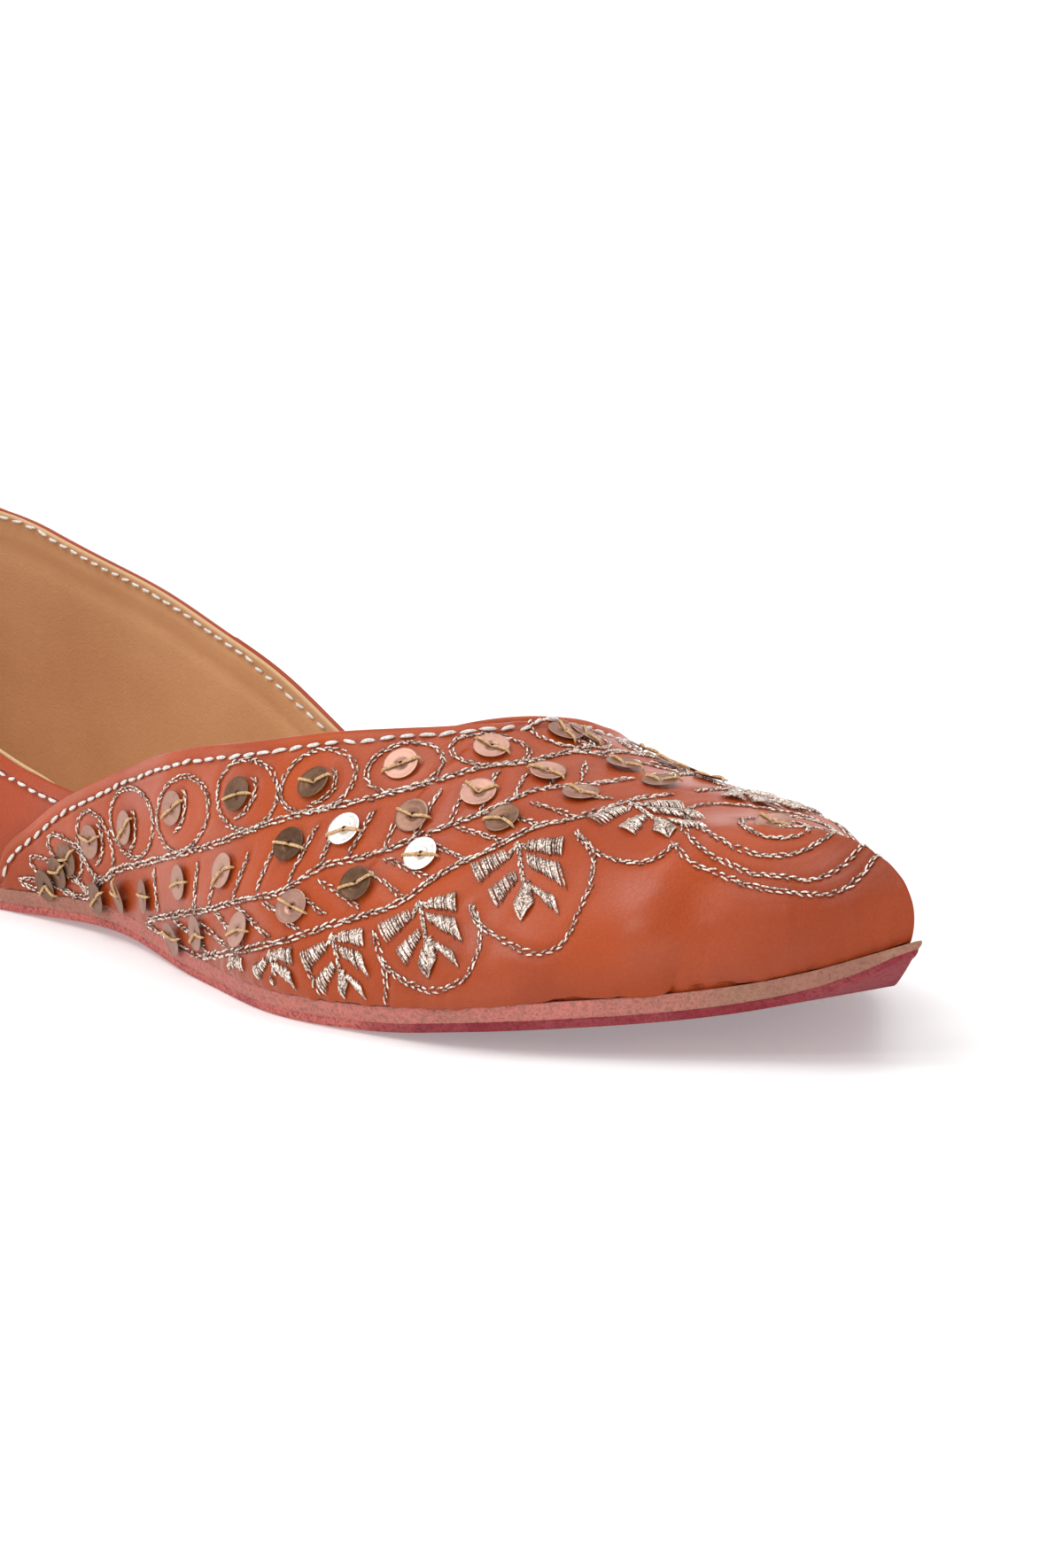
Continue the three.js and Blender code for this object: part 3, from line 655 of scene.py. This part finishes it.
# %% [markdown]
# ## Lines of stitches
# The lines are laid on the plain leather first, because the thread then shapes the leather. Where a motif hangs over
# the cut edge, its line is split, and stretches that are too short to sew are left out.

# %% The lines of the whole vamp
def stretches(path):
    """The parts of a path between the places that missed the leather, which are nan."""
    parts = np.split(path, np.flatnonzero(np.isnan(path[:, 0])))
    return [part[np.isfinite(part[:, 0])] for part in parts if len(part) > 4]


points, tris, vamp_edge = shell(s_at(WING_END), 150, 64, wing_height, 0.0, VAMP_BACK, fine=1.9)
ground = BVHTree.FromPolygons(points.tolist(), tris.tolist())
DOWN = np.array([0.0, 0.0, -1.0])
turn = np.linspace(0, 2 * np.pi, 64)[:, None]
bow = np.radians(np.linspace(-75, 60, 24))[:, None]
crook = 3.3 * np.c_[np.cos(bow), np.sin(bow)]
heavy, light = [], []
for side in (INNER, OUTER):
    heavy += [through(skin(*np.array(line).T, side)) for line in STEMS]
    light += [through(skin(*np.array(line).T, side)) for line in SCALLOPS]
    light += [through(skin(twig[[0, 2]], twig[[1, 3]], side)) for twig in TWIGS]
    for s, t, *axes in OVALS:
        drawing = np.cos(turn) * axes[:2] + np.sin(turn) * axes[2:]
        light.append(stamp(ground, drawing, anchor(s, t, side))[0])
    light += [stamp(ground, crook, anchor(s, t, side))[0] for s, t, _ in SEQUINS[3:9]]
    light += [land(ground, through(from_above(arc, side)), DOWN)[0] for arc in [*TOE_ARCS, *TOE_CUPS]]
ring = np.c_[RING[0] + RING[2] * np.cos(turn), RING[1] + RING[3] * np.sin(turn)]
light.append(land(ground, from_above(ring, 1), DOWN)[0])
light = [part for path in light for part in stretches(path)]
sewn = np.concatenate(heavy + light)
print(len(heavy + light), "lines of stitches, samples on them:", len(sewn))

# %% [markdown]
# ## Vamp
# Thread pulls the leather down, so it lies a fifth of a millimetre lower along every line of stitches, and puffs up a
# little between them. Lasting leaves marks too: the toe has a shallow trough where the pincers let go, and a dimple
# at the sole. The edge is folded over a cord, which leaves a round bead and the valley of its own stitches.

# %% Vamp with its wings
BULGES = [(0.766, 0.36, 7.5, 0.75), (0.846, 0.26, 6.0, 0.60), (0.700, 0.22, 9.0, 0.35)]  # s, t, half width, height
CREASES = [  # places, half width and depth in millimetres, sides that carry it
    ([(0.802, 0.56), (0.804, 0.294), (0.806, 0.02)], 4.0, 0.75, (INNER, OUTER)),
    ([(0.790, 0.46), (0.791, 0.25), (0.792, 0.05)], 2.4, 0.30, (INNER, OUTER)),
    ([(0.745, 0.348), (0.746, 0.237), (0.747, 0.02)], 3.5, 0.35, (INNER,)),
    ([(0.792, 0.10), (0.792, 0.05), (0.792, 0.0)], 1.7, 0.55, (INNER,)),
    ([(0.762, 0.13), (0.764, 0.06), (0.765, 0.0)], 1.6, 0.35, (INNER, OUTER)),
    ([(0.858, 0.14), (0.860, 0.07), (0.862, 0.0)], 1.8, 0.30, (INNER, OUTER)),
    ([(0.716, 0.12), (0.717, 0.06), (0.718, 0.0)], 2.0, 0.30, (OUTER,))]


def waves(points, size, seed, count=28, stretch=(1, 1, 1)):
    """Smooth noise: the mean of sine waves with random directions and phases, about size millimetres long."""
    rng = np.random.default_rng(seed)
    k = rng.normal(size=(count, 3))
    k *= (2 * np.pi / size) * rng.uniform(0.6, 1.6, (count, 1)) / np.linalg.norm(k, axis=1, keepdims=True)
    phase = rng.uniform(0, 2 * np.pi, count)
    return np.sin((points * stretch) @ k.T + phase).sum(1) / np.sqrt(count / 2)


drop, pull = distance(points, vamp_edge), distance(points, sewn)
normals = vertex_normals(points, tris)
relief = 0.18 * bell(drop, 0.7, 0.7) - 0.24 * bell(drop, VAMP_HEM, 0.32) + 0.06 * bell(drop, 2.5, 0.5)
relief += 0.06 * bell(pull, 1.8, 0.9) - 0.20 * bell(pull, 0, 0.75)
relief += 0.10 * waves(points, 30.0, 11) * np.clip(drop / 6, 0, 1)
for s, t, width, height in BULGES:
    for side in (INNER, OUTER):
        relief += height * bell(distance(points, skin(s, t, side)[None]), 0, width)
rise = points[:, 2] - underside(points[:, 0]) - SOLE_TOP
relief += 0.07 * waves(points, 2.6, 13, stretch=(1, 1, 0.12)) * bell(rise, 1.0, 6.0)
for places, width, depth, sides in CREASES:
    for side in sides:
        relief -= depth * bell(distance(points, through(skin(*np.array(places).T, side))), 0, width)
points = points + normals * relief[:, None]
pressed = 0.7 * bell(drop, VAMP_HEM, 0.40) + 0.45 * bell(pull, 0, 0.55)
# Painted shade: the vamp is darkened near the sole and at the front of the toe, where shade falls; a faint random
# mottle is added to it.
low = np.clip(1 - (points[:, 2] - underside(points[:, 0]) - 3.5) / 13, 0, 1)
front = np.clip((points[:, 0] - 234) / 16, 0, 1)
deep = 0.50 * low**1.3 + 0.75 * front * (1 - low) + 0.12 * waves(points, 22.0, 12).clip(0, 1)
piece("vamp_leather", points, tris, vamp_leather, "vamp_leather", ["vamp"], pressed=pressed, deep=deep)
ground = BVHTree.FromPolygons(points.tolist(), tris.tolist())

# %% [markdown]
# ## Thread
# Every stitch, satin thread and tie is the same thing: a short path with a ring of five points carried along it,
# shrinking to one point at both ends. All paths of one kind have equally many stations, so a few array operations
# make them together. A stitch bows up off the leather by 1 - x^2 and dives into its holes.

# %% Tubes round many short paths
def threads(paths, ups, radius, sides=5):
    """Paths [m, n, 3] with an up vector each become closed tubes whose radius falls off as 1 - |x|^4 to the ends."""
    m, n = paths.shape[:2]
    t = unit(np.gradient(paths, axis=1))
    across = unit(np.cross(ups[:, None], t))
    up = np.cross(t, across)
    swell = np.ones((m, 1)) * radius * (1 - np.abs(np.linspace(-1, 1, n)) ** 4)
    phi = 2 * np.pi * np.arange(sides) / sides
    spokes = across[:, :, None] * np.cos(phi)[:, None] + up[:, :, None] * np.sin(phi)[:, None]
    rings = paths[:, :, None] + swell[:, :, None, None] * spokes
    points = np.concatenate([paths[:, :1], rings[:, 1:-1].reshape(m, -1, 3), paths[:, -1:]], axis=1)
    i, j = np.arange(1, n - 1)[:, None], np.arange(sides + 1) % sides
    ids = np.r_[np.zeros((1, sides + 1), int), 1 + (i - 1) * sides + j, np.full((1, sides + 1), 1 + (n - 2) * sides)]
    a, b, c, d = ids[:-1, :-1].ravel(), ids[1:, :-1].ravel(), ids[1:, 1:].ravel(), ids[:-1, 1:].ravel()
    one = np.r_[np.c_[a, c, b], np.c_[a, d, c]]
    one = one[(one[:, 0] != one[:, 1]) & (one[:, 1] != one[:, 2]) & (one[:, 0] != one[:, 2])]
    tris = one[None] + points.shape[1] * np.arange(m)[:, None, None]
    return points.reshape(-1, 3), tris.reshape(-1, 3)


def sew(ground, paths, pitch, length, spread, arch, lean=0.15, lift=0.08, loose=0.07, seed=1):
    """Bowed stitches along paths, in one row, or in two staggered rows that lie spread apart and lean together."""
    rng, x = np.random.default_rng(seed), np.linspace(-1, 1, 6)[None, :, None]
    spots, ahead, row = [], [], []
    for path in paths:
        walked = np.r_[0, np.cumsum(np.linalg.norm(np.diff(path, axis=0), axis=1))]
        for k in (-1, 1) if spread else (0,):
            at = np.arange((0.5 + 0.25 * k) * pitch, walked[-1], pitch)
            here, there = (np.stack([np.interp(at + d, walked, path[:, c]) for c in range(3)], -1)
                           for d in (-0.3, 0.3))
            spots.append((here + there) / 2)
            ahead.append(there - here)
            row.append(np.full(len(at), k))
    spots, ahead, row = np.concatenate(spots), unit(np.concatenate(ahead)), np.concatenate(row)
    spots, normals = land(ground, spots)
    across = unit(np.cross(normals, ahead))
    yaw = lean * np.where(row == 0, 1, row) + rng.normal(0, loose, len(row))
    ahead = ahead * np.cos(yaw)[:, None] + across * np.sin(yaw)[:, None]
    half = length / 2 * rng.uniform(1 - 1.5 * loose, 1 + 1.5 * loose, (len(row), 1, 1))
    centre = spots + across * (spread * row + rng.normal(0, 0.5 * loose, len(row)))[:, None] + normals * lift
    return centre[:, None] + ahead[:, None] * half * x + normals[:, None] * arch * (1 - x**2), normals

# %% [markdown]
# ## Metal thread, cotton and sequins
# The embroidery thread is a flat silver-gilt strip wound on cotton, so it glints where a turn faces the light and
# shows its brown core elsewhere. That is a metal whose colour and roughness jump at the scale of a turn. The cotton
# of the edge stitches is plain white. The sequins are tied with waxed ochre thread, and they are thin sheet, satin
# copper with a few smoked or pearly ones among them.

# %% Thread finishes
def metal_thread(s):
    turns = s.noise(2600.0, 1.0, 0.5).step(0.36, 0.62)
    stops = [(0.0, (0.12, 0.065, 0.055)), (0.35, (0.40, 0.28, 0.23)),
             (0.65, (0.78, 0.66, 0.56)), (1.0, (1.0, 0.93, 0.85))]
    colour = s.node("ValToRGB", {"stops": stops}, Fac=turns * 0.55 + s.attribute("tone") * 0.5)
    return {"Base_Color": colour, "Metallic": turns * 0.35 + 0.5, "Roughness": 0.45 - turns * 0.15,
            "Normal": turns.bump(0.5, 0.12)}


def cotton(light, dark):
    def build(s):
        fibre = s.noise(3000.0, 2.0)
        return {"Base_Color": fibre.step(0.35, 0.65).mix(dark, light), "Roughness": 0.6 + fibre * 0.25,
                "Normal": fibre.bump(0.5, 0.10)}
    return build


zari = finish("silver_gilt_thread", metal_thread)
white_cotton = finish("white_cotton", cotton((0.86, 0.84, 0.80), (0.62, 0.58, 0.53)), Specular_IOR_Level=0.3)
ochre_thread = finish("ochre_thread", cotton((0.72, 0.48, 0.25), (0.46, 0.26, 0.11)), Specular_IOR_Level=0.35)

# %% [markdown]
# ## The stitched lines
# Every line is two staggered rows of stitches that lean together, so that it reads as a narrow braid. The stems are
# sewn with the longer and thicker stitch.

# %% Stitched lines on the vamp
def gilt(name, paths, ups, radius, seed, brightest=1.0):
    """Gilt threads as one piece, each thread with one random tone for all its points."""
    points, tris = threads(paths, ups, radius)
    tone = np.random.default_rng(seed).uniform(0.0, brightest, len(paths))
    piece(name, points, tris, zari, "vamp_leather", tone=np.repeat(tone, len(points) // len(paths)))


for name, paths, pitch, length, spread, radius, arch, seed in (
        ("stem_stitches", heavy, 1.40, 1.60, 0.29, 0.19, 0.20, 21),
        ("line_stitches", light, 1.32, 1.35, 0.20, 0.155, 0.16, 22)):
    gilt(name, *sew(ground, paths, pitch, length, spread, arch, loose=0.17, seed=seed), radius, seed)

# %% [markdown]
# ## Leaves in satin stitch
# A petal is a wedge filled with threads laid side by side, each parallel to the wedge's far edge and a little longer
# than the one before. They lie over a padding, so each bows up in the middle. The threads that would fall over the
# edge of the sole are left out, as they are where the vamp was cut off at the last.

# %% Satin petals
SATIN_PITCH, SATIN_RADIUS, VEIN_RADIUS = 0.35, 0.175, 0.18


def on_leaves(drawings):
    """Each drawing, turned and scaled for every leaf of both sides, with the leaf's frame on the leather."""
    for side in (INNER, OUTER):
        for s, t, size, degrees in LEAVES:
            place, a = anchor(s, t, side), np.radians(degrees)
            spin = np.array([[np.cos(a), np.sin(a)], [-np.sin(a), np.cos(a)]])
            yield from ((place, drawing @ spin * size) for drawing in drawings)


def clear_of_sole(places, gap):
    """True for a place that met the leather more than gap over its lower edge."""
    edge = underside(places[..., 0]) + SOLE_TOP + SEAT + gap
    return np.isfinite(places).all(-1) & (np.nan_to_num(places[..., 2]) > np.nan_to_num(edge))


feet, ups = [], []
rng = np.random.default_rng(31)
for place, (root, near, far) in on_leaves(PETALS.reshape(-1, 3, 2)):
    middle, half = (near + far) / 2, (far - near) / 2 * 1.12
    count = int(np.linalg.norm(middle - root) / SATIN_PITCH)
    u = np.linspace(0.12, 1, count)[:, None]
    ends = [root + (middle - root) * u + k * half * (0.42 + 0.58 * u) + rng.normal(0, 0.09, (count, 2))
            for k in (-1, 1)]
    spots = [stamp(ground, end, place) for end in ends]
    feet.append(np.stack([spots[0][0], spots[1][0]], 1))
    ups.append(spots[0][1] + spots[1][1])
feet, ups = np.concatenate(feet), unit(np.concatenate(ups))
keep = clear_of_sole(feet, 0.35).all(1)
feet, ups = feet[keep], ups[keep]
x = np.linspace(0, 1, 6)[None, :, None]
span = np.linalg.norm(feet[:, 1] - feet[:, 0], axis=1)[:, None, None]
height = 0.05 + (0.16 + 0.10 * span) * (1 - (2 * x - 1) ** 2)
gilt("leaf_threads", feet[:, :1] * (1 - x) + feet[:, 1:] * x + ups[:, None] * height, ups, SATIN_RADIUS, 32, 0.9)
veins = [stamp(ground, root + (tip - root) * np.linspace(0, 1, 8)[:, None], place)[0]
         for place, (root, tip) in on_leaves(VEINS.reshape(-1, 2, 2))]
veins = [vein for vein in veins if clear_of_sole(vein, 0.3).all()]
gilt("leaf_veins", *sew(ground, veins, 1.2, 1.4, 0.16, 0.16, seed=33), VEIN_RADIUS, 34)

# %% [markdown]
# ## Sequins and their ties
# A sequin is a slightly cupped disc five millimetres wide with a hole in the middle. Its section is a closed loop
# turned round the middle. Each one leans on the threads beside it, and two short threads hold it, from the hole out
# over the rim on both sides.

# %% Sequins
def sequin_finish(s):
    tone, cloud = s.attribute("tone"), s.noise(1100.0, 3.0)
    stops = [(0.0, (0.085, 0.040, 0.018)), (0.22, (0.20, 0.105, 0.060)), (0.45, (0.40, 0.215, 0.165)),
             (0.6, (0.50, 0.28, 0.21)), (1.0, (1.0, 0.96, 0.92))]
    colour = s.node("ValToRGB", {"stops": stops}, Fac=tone + cloud * 0.30 - 0.15)
    return {"Base_Color": colour, "Roughness": 0.38 - tone * 0.12 + cloud * 0.12,
            "Normal": s.noise(5000.0, 1.0, 0.5).bump(0.25, 0.06)}


sequin_copper = finish("sequin_sheet", sequin_finish, Metallic=0.75)
SECTION = np.array([  # from the middle and up: the hole, the upper face, the rim and the lower face
    (0.45, 0.0), (0.45, 0.09), (1.3, 0.10), (2.1, 0.15), (2.44, 0.22), (2.5, 0.18), (2.44, 0.12), (2.1, 0.05),
    (1.3, 0.0)])
SPOKES, HOVER = 26, 0.42
LEAN = np.array([0.05, 0, 0.15])  # the lowest sequins face this much further down
TOE_LEAN = (0.14, -0.22, 0)
spots, ups, out, tone = [], [], [], []
for side in (INNER, OUTER):
    kept = SEQUINS[SEQUINS[:, 1] < 0.999] if side == OUTER else SEQUINS  # those on the ridge belong to both sides
    frames = [anchor(s, t, side) for s, t, _ in kept]
    spots += [f[0] for f in frames]
    ups += [f[3] - LEAN * np.clip((0.115 - t) / 0.07, 0, 1) for f, t in zip(frames, kept[:, 1])]
    out += [f[1] for f in frames]
    tone += list(kept[:, 2])
spots.append(land(ground, from_above([TOE_SEQUIN], 1), DOWN)[0][0])
spots, found = land(ground, np.array(spots))
ups, out, tone = np.array(ups + [found[-1] + TOE_LEAN]), np.array(out + [(1.0, 0, 0)]), np.array(tone + [0.5])
rng = np.random.default_rng(41)
ups = unit(ups + rng.normal(0, 0.06, ups.shape))
out = unit(out - ups * (out * ups).sum(1, keepdims=True))
side_on = np.cross(ups, out)
phi = 2 * np.pi * np.arange(SPOKES) / SPOKES
reach, height = SECTION[:, :1], SECTION[:, 1:]
disc = np.stack([reach * np.cos(phi), reach * np.sin(phi), height + 0 * phi], -1).reshape(-1, 3)
k, j = np.meshgrid(np.arange(len(SECTION)), np.arange(SPOKES), indexing="ij")
next_k, next_j = (k + 1) % len(SECTION), (j + 1) % SPOKES
a, b, c, d = (q.ravel() for q in (k * SPOKES + j, next_k * SPOKES + j, next_k * SPOKES + next_j, k * SPOKES + next_j))
one = np.r_[np.c_[a, c, b], np.c_[a, d, c]]
under = np.clip(-ups[:, 2:], 0, 1)  # a sequin that faces the floor hangs further out
seats = spots + ups * HOVER + under * (0, 0, 0.6) + ups * under * 1.2
points = (disc @ np.stack([out, side_on, ups], 1) + seats[:, None]).reshape(-1, 3)
tris = (one[None] + len(disc) * np.arange(len(seats))[:, None, None]).reshape(-1, 3)
piece("sequins", points, tris, sequin_copper, "vamp_leather", tone=np.repeat(tone, len(disc)))

# %% [markdown]
# ## Ties
# A tie is one path for all sequins, given by the distance from the middle and the height over the disc. It dives into
# the leather outside the rim and into the hole, and it is swung a little at random.

# %% Threads that hold the sequins
TIE = np.array([(3.15, -0.42), (2.75, -0.02), (2.52, 0.30), (1.9, 0.36), (1.1, 0.30), (0.5, 0.22), (0.12, -0.05),
                (0.05, -0.4)])
ties = []
for way in (1, -1):
    swing = rng.normal(0.25, 0.35, len(seats))[:, None]
    arm = way * (out * np.cos(swing) + side_on * np.sin(swing))
    ties.append(seats[:, None] + arm[:, None] * TIE[:, :1] + ups[:, None] * TIE[:, 1:])
points, tris = threads(np.concatenate(ties), np.concatenate([ups, ups]), 0.23)
piece("sequin_ties", points, tris, ochre_thread, "vamp_leather")

# %% [markdown]
# ## White edge stitches
# One line of white cotton runs about two millimetres inside every edge: round the vamp, along the open part of the
# quarters, and inside on the lining. The line is the edge itself moved down the leather, across its own direction.

# %% Lockstitches along the edges
def inset(ground, edge, depth, closed):
    """The edge moved down the surface: across its direction and the normal there, then put back on the surface."""
    normals = land(ground, edge)[1]
    down = unit(np.cross(normals, along(edge, closed)))
    down = down * -np.sign(down[:, 2].mean())
    return land(ground, edge + down * depth)[0]


def open_quarter(path):
    side = np.where(path[:, 1] < 0, INNER, OUTER)
    return quarter_height(path[:, 0], side) > wing_height(path[:, 0], side) * (path[:, 0] > WING_END) + 2.5


line = inset(ground, vamp_edge, VAMP_HEM, False)
rows, ups = sew(ground, [line], 2.8, 2.5, 0.0, 0.24, lean=0.10, lift=0.12, seed=51)
quarter_line = inset(quarter_ground, quarter_path, QUARTER_HEM, True)
keep = open_quarter(quarter_line)
cuts = np.flatnonzero(np.diff(keep.astype(int)) != 0) + 1
spans = [part for part, on in zip(np.split(quarter_line, cuts), np.split(keep, cuts)) if on[0] and len(part) > 3]
more, more_ups = sew(quarter_ground, spans, 2.75, 2.35, 0.0, 0.22, lean=0.10, lift=0.08, seed=52)
inward = unit(np.c_[np.clip(lining_top[:, 0], 45, 175) - lining_top[:, 0], -lining_top[:, 1], 0 * lining_top[:, 0]])
inside_line = land(lining_ground, lining_top + 2.5 * inward - (0, 0, 1.3))[0]
last, last_ups = sew(lining_ground, [inside_line], 2.8, 2.3, 0.0, 0.22, lean=0.10, lift=0.12, seed=53)
points, tris = threads(np.concatenate([rows, more, last]), np.concatenate([ups, more_ups, last_ups]), 0.27, sides=6)
piece("edge_stitches", points, tris, white_cotton, "vamp_leather")

# %% [markdown]
# ## Sole and insole
# The sole is buffalo hide cut with a knife, so its edge is open, fibrous and a little uneven, and a thin crimson
# layer is glued under it. Each layer is a slab between two heights over the underside: a grid across the shoe for
# the faces, and a narrow strip round the edge that is roughened with a sum of waves of many directions.

# %% Slabs that follow the underside
RED_TOP, HIDE_TOP, SOCK_TOP = 1.25, 3.6, 5.0  # the upper faces of the crimson layer, the sole and the insole
SKIVE_START, SKIVE_RUN, SKIVE = 250.5, 6.5, 0.3


def slab(low, high, foot, head, reach, rows=12):
    """Between the heights low and high over the underside; foot and head move the edge outwards there, and reach
    moves the toe forward. The underside curls up by TIP_RISE at the tip, and the hide is skived thinner there."""
    s = np.r_[np.linspace(0, S_HEEL, 40)[:-1], np.linspace(S_HEEL, S_TOE, 260)[:-1], np.linspace(S_TOE, 1, 160)]
    across = np.linspace(0, 1, 17)[None, :, None]

    def rim(height, offset, side):
        x, y = outline(s, side, offset, reach)
        tip = TIP_RISE * reach / TIP * np.clip((x / LINE - TIP_START) / (1 - TIP_START), 0, 1) ** 2
        upper = max(height - RED_TOP, 0) / (HIDE_TOP - RED_TOP)
        skived = (reach > 0) * np.clip((x - SKIVE_START) / SKIVE_RUN, 0, 1) ** 2 * upper
        z = underside(x) + height + tip * np.clip(1 - height / SOLE_TOP, 0, 1) - SKIVE * skived
        return np.stack([x, y, z], -1)

    patches = []
    for height, offset, flip in ((low, foot, True), (high, head, False)):
        near, far = rim(height, offset, INNER)[:, None], rim(height, offset, OUTER)[:, None]
        patches.append((near + (far - near) * across, flip))
    for side in (INNER, OUTER):
        strip = [rim(low + (high - low) * u, foot + (head - foot) * u + 0.10 * np.sin(np.pi * u), side)
                 for u in np.linspace(0, 1, rows)]
        patches.append((np.stack(strip, 1), side == OUTER))
    return weld(patches)


def hide(name, light, dark, edge_tint, blush_tint):
    """Open hide: short fibres, blotches of tan, dark specks where the knife tore, and a blush of dye on the side."""
    def build(s):
        fibre, speck = s.noise(1500.0, 5.0, 0.7), s.noise(1500.0, 2.0, 0.5).step(0.60, 0.72)
        colour = s.noise(70.0, 4.0).step(0.38, 0.62).mix(light, edge_tint)
        colour = s.attribute("blush").mix(colour, blush_tint)
        colour = (fibre.step(0.34, 0.60) * 0.75 + 0.25).mix(tuple(1.6 * c for c in dark), colour)
        return {"Base_Color": (speck * 0.45).mix(colour, dark), "Roughness": 0.82 + fibre * 0.12,
                "Normal": (fibre + speck * 0.4).bump(0.7, 0.35)}

    return finish(name, build, Specular_IOR_Level=0.25)


sole_hide = hide("sole_hide", (0.39, 0.195, 0.13), (0.15, 0.075, 0.052), (0.36, 0.16, 0.115), (0.60, 0.195, 0.165))
red_hide = hide("red_hide", (0.26, 0.030, 0.042), (0.10, 0.010, 0.014), (0.32, 0.060, 0.068), (0.60, 0.17, 0.14))

# %% [markdown]
# ## The three layers
# The knife leaves the cut side rough, so each layer's side is moved in and out by waves, and its faces stay flat. A
# blush of dye lies along the side of the sole, and on the inner side the crimson layer is paler behind the toe.

# %% Sole, crimson bottom layer and insole
for name, args, material, slot_name, node, amount in (
        ("sole", (RED_TOP, HIDE_TOP, 0.40, 1.0, TIP), sole_hide, "sole_leather", "midsole", 0.16),
        ("sole_bottom", (0.0, RED_TOP, 0.0, 0.40, TIP), red_hide, "red_leather", "outsole", 0.10),
        ("insole_sock", (HIDE_TOP, SOCK_TOP, -1.95, -1.95, 0.0), lining_leather, "lining_leather", "insole", 0.0)):
    points, tris = slab(*args)
    if amount:
        normals = vertex_normals(points, tris)
        rough = waves(points, 1.6, 3, stretch=(1, 1, 3)) * 0.5 + waves(points, 7.0, 4) * 0.5
        side_on = np.clip(1 - np.abs(normals[:, 2]) * 1.5, 0, 1)
        points = points + normals * (amount * rough * side_on)[:, None] * (1, 1, 0)
    x, inner = points[:, 0], np.clip(-points[:, 1] / 10, 0, 1)
    if name == "sole":
        blush = (0.30 + 0.70 * np.clip((x - 112) / 10, 0, 1)) * np.clip((247 - x) / 24, 0, 1)
    else:
        blush = np.clip((204 - x) / 14, 0, 1) * inner
    piece(name, points, tris, material, slot_name, [node], blush=blush + 0.12 * waves(points, 14.0, 6) * (blush > 0))

# %% [markdown]
# ## Light, floor and camera
# The photograph was taken on a white table in a light tent: soft light from above and the left, no hard shadow. The
# camera stood low, nine degrees over the table, and turned fifty degrees from the shoe's side, so it is placed from
# those two angles and a distance, and slid sideways until the frame crops the shoe as the photograph does.

# %% Stage
def axes_of(back):
    """Right, up and back of something that looks against back and holds its right side level."""
    back = np.array(back) / np.linalg.norm(back)
    right = np.cross((0, 0, 1), back)
    right /= np.linalg.norm(right)
    return right, np.cross(back, right), back


def place_at(name, data, spot, axes):
    thing = bpy.data.objects.new(name, data)
    thing.matrix_world = Matrix([[*row, p] for row, p in zip(np.stack(axes, 1), spot)] + [[0, 0, 0, 1]])
    bpy.context.scene.collection.objects.link(thing)
    return thing


def stage_camera():
    """Focal length and the two slides of the camera are in pixels of the photograph, which is 1770 of them high."""
    height, focal, slide_left, slide_up = 1770, 5442.05, 94.39, 105.51
    turn, lift, reach = np.radians(50), np.radians(9), 0.6536
    right, up, back = axes_of((np.sin(turn) * np.cos(lift), -np.cos(turn) * np.cos(lift), np.sin(lift)))
    target = np.array([(199.1 - MIDDLE) / 1000, 0.0, 0.0172])
    spot = target + back * reach - right * (slide_left / focal * reach) + up * (slide_up / focal * reach)
    data = bpy.data.cameras.new("camera")
    data.sensor_width, data.lens, data.clip_start = 36.0, focal / height * 36, 0.02
    bpy.context.scene.camera = place_at("camera", data, spot, (right, up, back))


def softbox(name, spot, aim, size, power):
    data = bpy.data.lights.new(name, "AREA")
    data.size, data.energy = size, power
    place_at(name, data, spot, axes_of(np.subtract(spot, aim)))


stage_camera()
softbox("key", (-0.25, -0.6, 1.2), (0.05, 0, 0.02), 0.8, 7.5)
softbox("fill", (1.1, -0.9, 0.7), (0.05, 0, 0.02), 0.8, 0.2)
softbox("top", (-0.1, 0.4, 1.3), (0.05, 0, 0.02), 1.0, 6.5)
softbox("glint", (0.36, -0.86, 0.82), (0.10, 0, 0.02), 0.24, 1.7)
world = bpy.data.worlds.new("tent")
world.use_nodes = True
tent = world.node_tree.nodes["Background"].inputs
tent["Color"].default_value, tent["Strength"].default_value = (1, 1, 1, 1), 0.40
bpy.context.scene.world = world
bpy.context.scene.view_settings.view_transform = "Standard"

# %% [markdown]
# ## Table
# The table is a turned disc that curves up at its rim, so the background has no horizon. It has a painted glow, an
# emission though it is no lamp: faint round the shoe, so that the shadow shows, and full where it curves up.

# %% A table that curves up at its rim
FLAT, REACH, RISE, GAP = 0.75, 6.0, 2.5, 1e-4  # share of the reach that is flat, then metres
turn = np.linspace(0, 2 * np.pi, 97)
r = np.r_[0.0, np.linspace(0.5, FLAT, 6), np.linspace(0.76, 1, 24)][:, None]
z = RISE * (1 - np.sqrt(1 - np.clip((r - FLAT) / (1 - FLAT), 0, 1) ** 2)) - GAP
disc = np.stack([REACH * r * np.cos(turn), REACH * r * np.sin(turn), z + 0 * turn], -1)
points, tris = weld([(1000 * disc, False)])


def painted_table_glow(s):
    away = s.node("VectorMath", {"operation": "LENGTH"}, out=1, i0=s.node("TexCoord", out=3))
    # Painted glow: emission colour that rises from dim round the shoe to bright towards the rim.
    return {"Emission_Color": away.step(0.5, 3.0).mix((0.26, 0.26, 0.265), (0.80, 0.80, 0.80))}


white = finish("table_white", painted_table_glow, Base_Color=(0.82, 0.82, 0.82), Roughness=0.7, Specular_IOR_Level=0.1,
               Emission_Strength=1.0)
floor_mesh = bpy.data.meshes.new("table")
floor_mesh.from_pydata((points / 1000).tolist(), [], tris.tolist())
floor_mesh.polygons.foreach_set("use_smooth", np.ones(len(tris), bool))
floor_mesh.materials.append(white)
floor = bpy.data.objects.new("table", floor_mesh)
bpy.context.scene.collection.objects.link(floor)
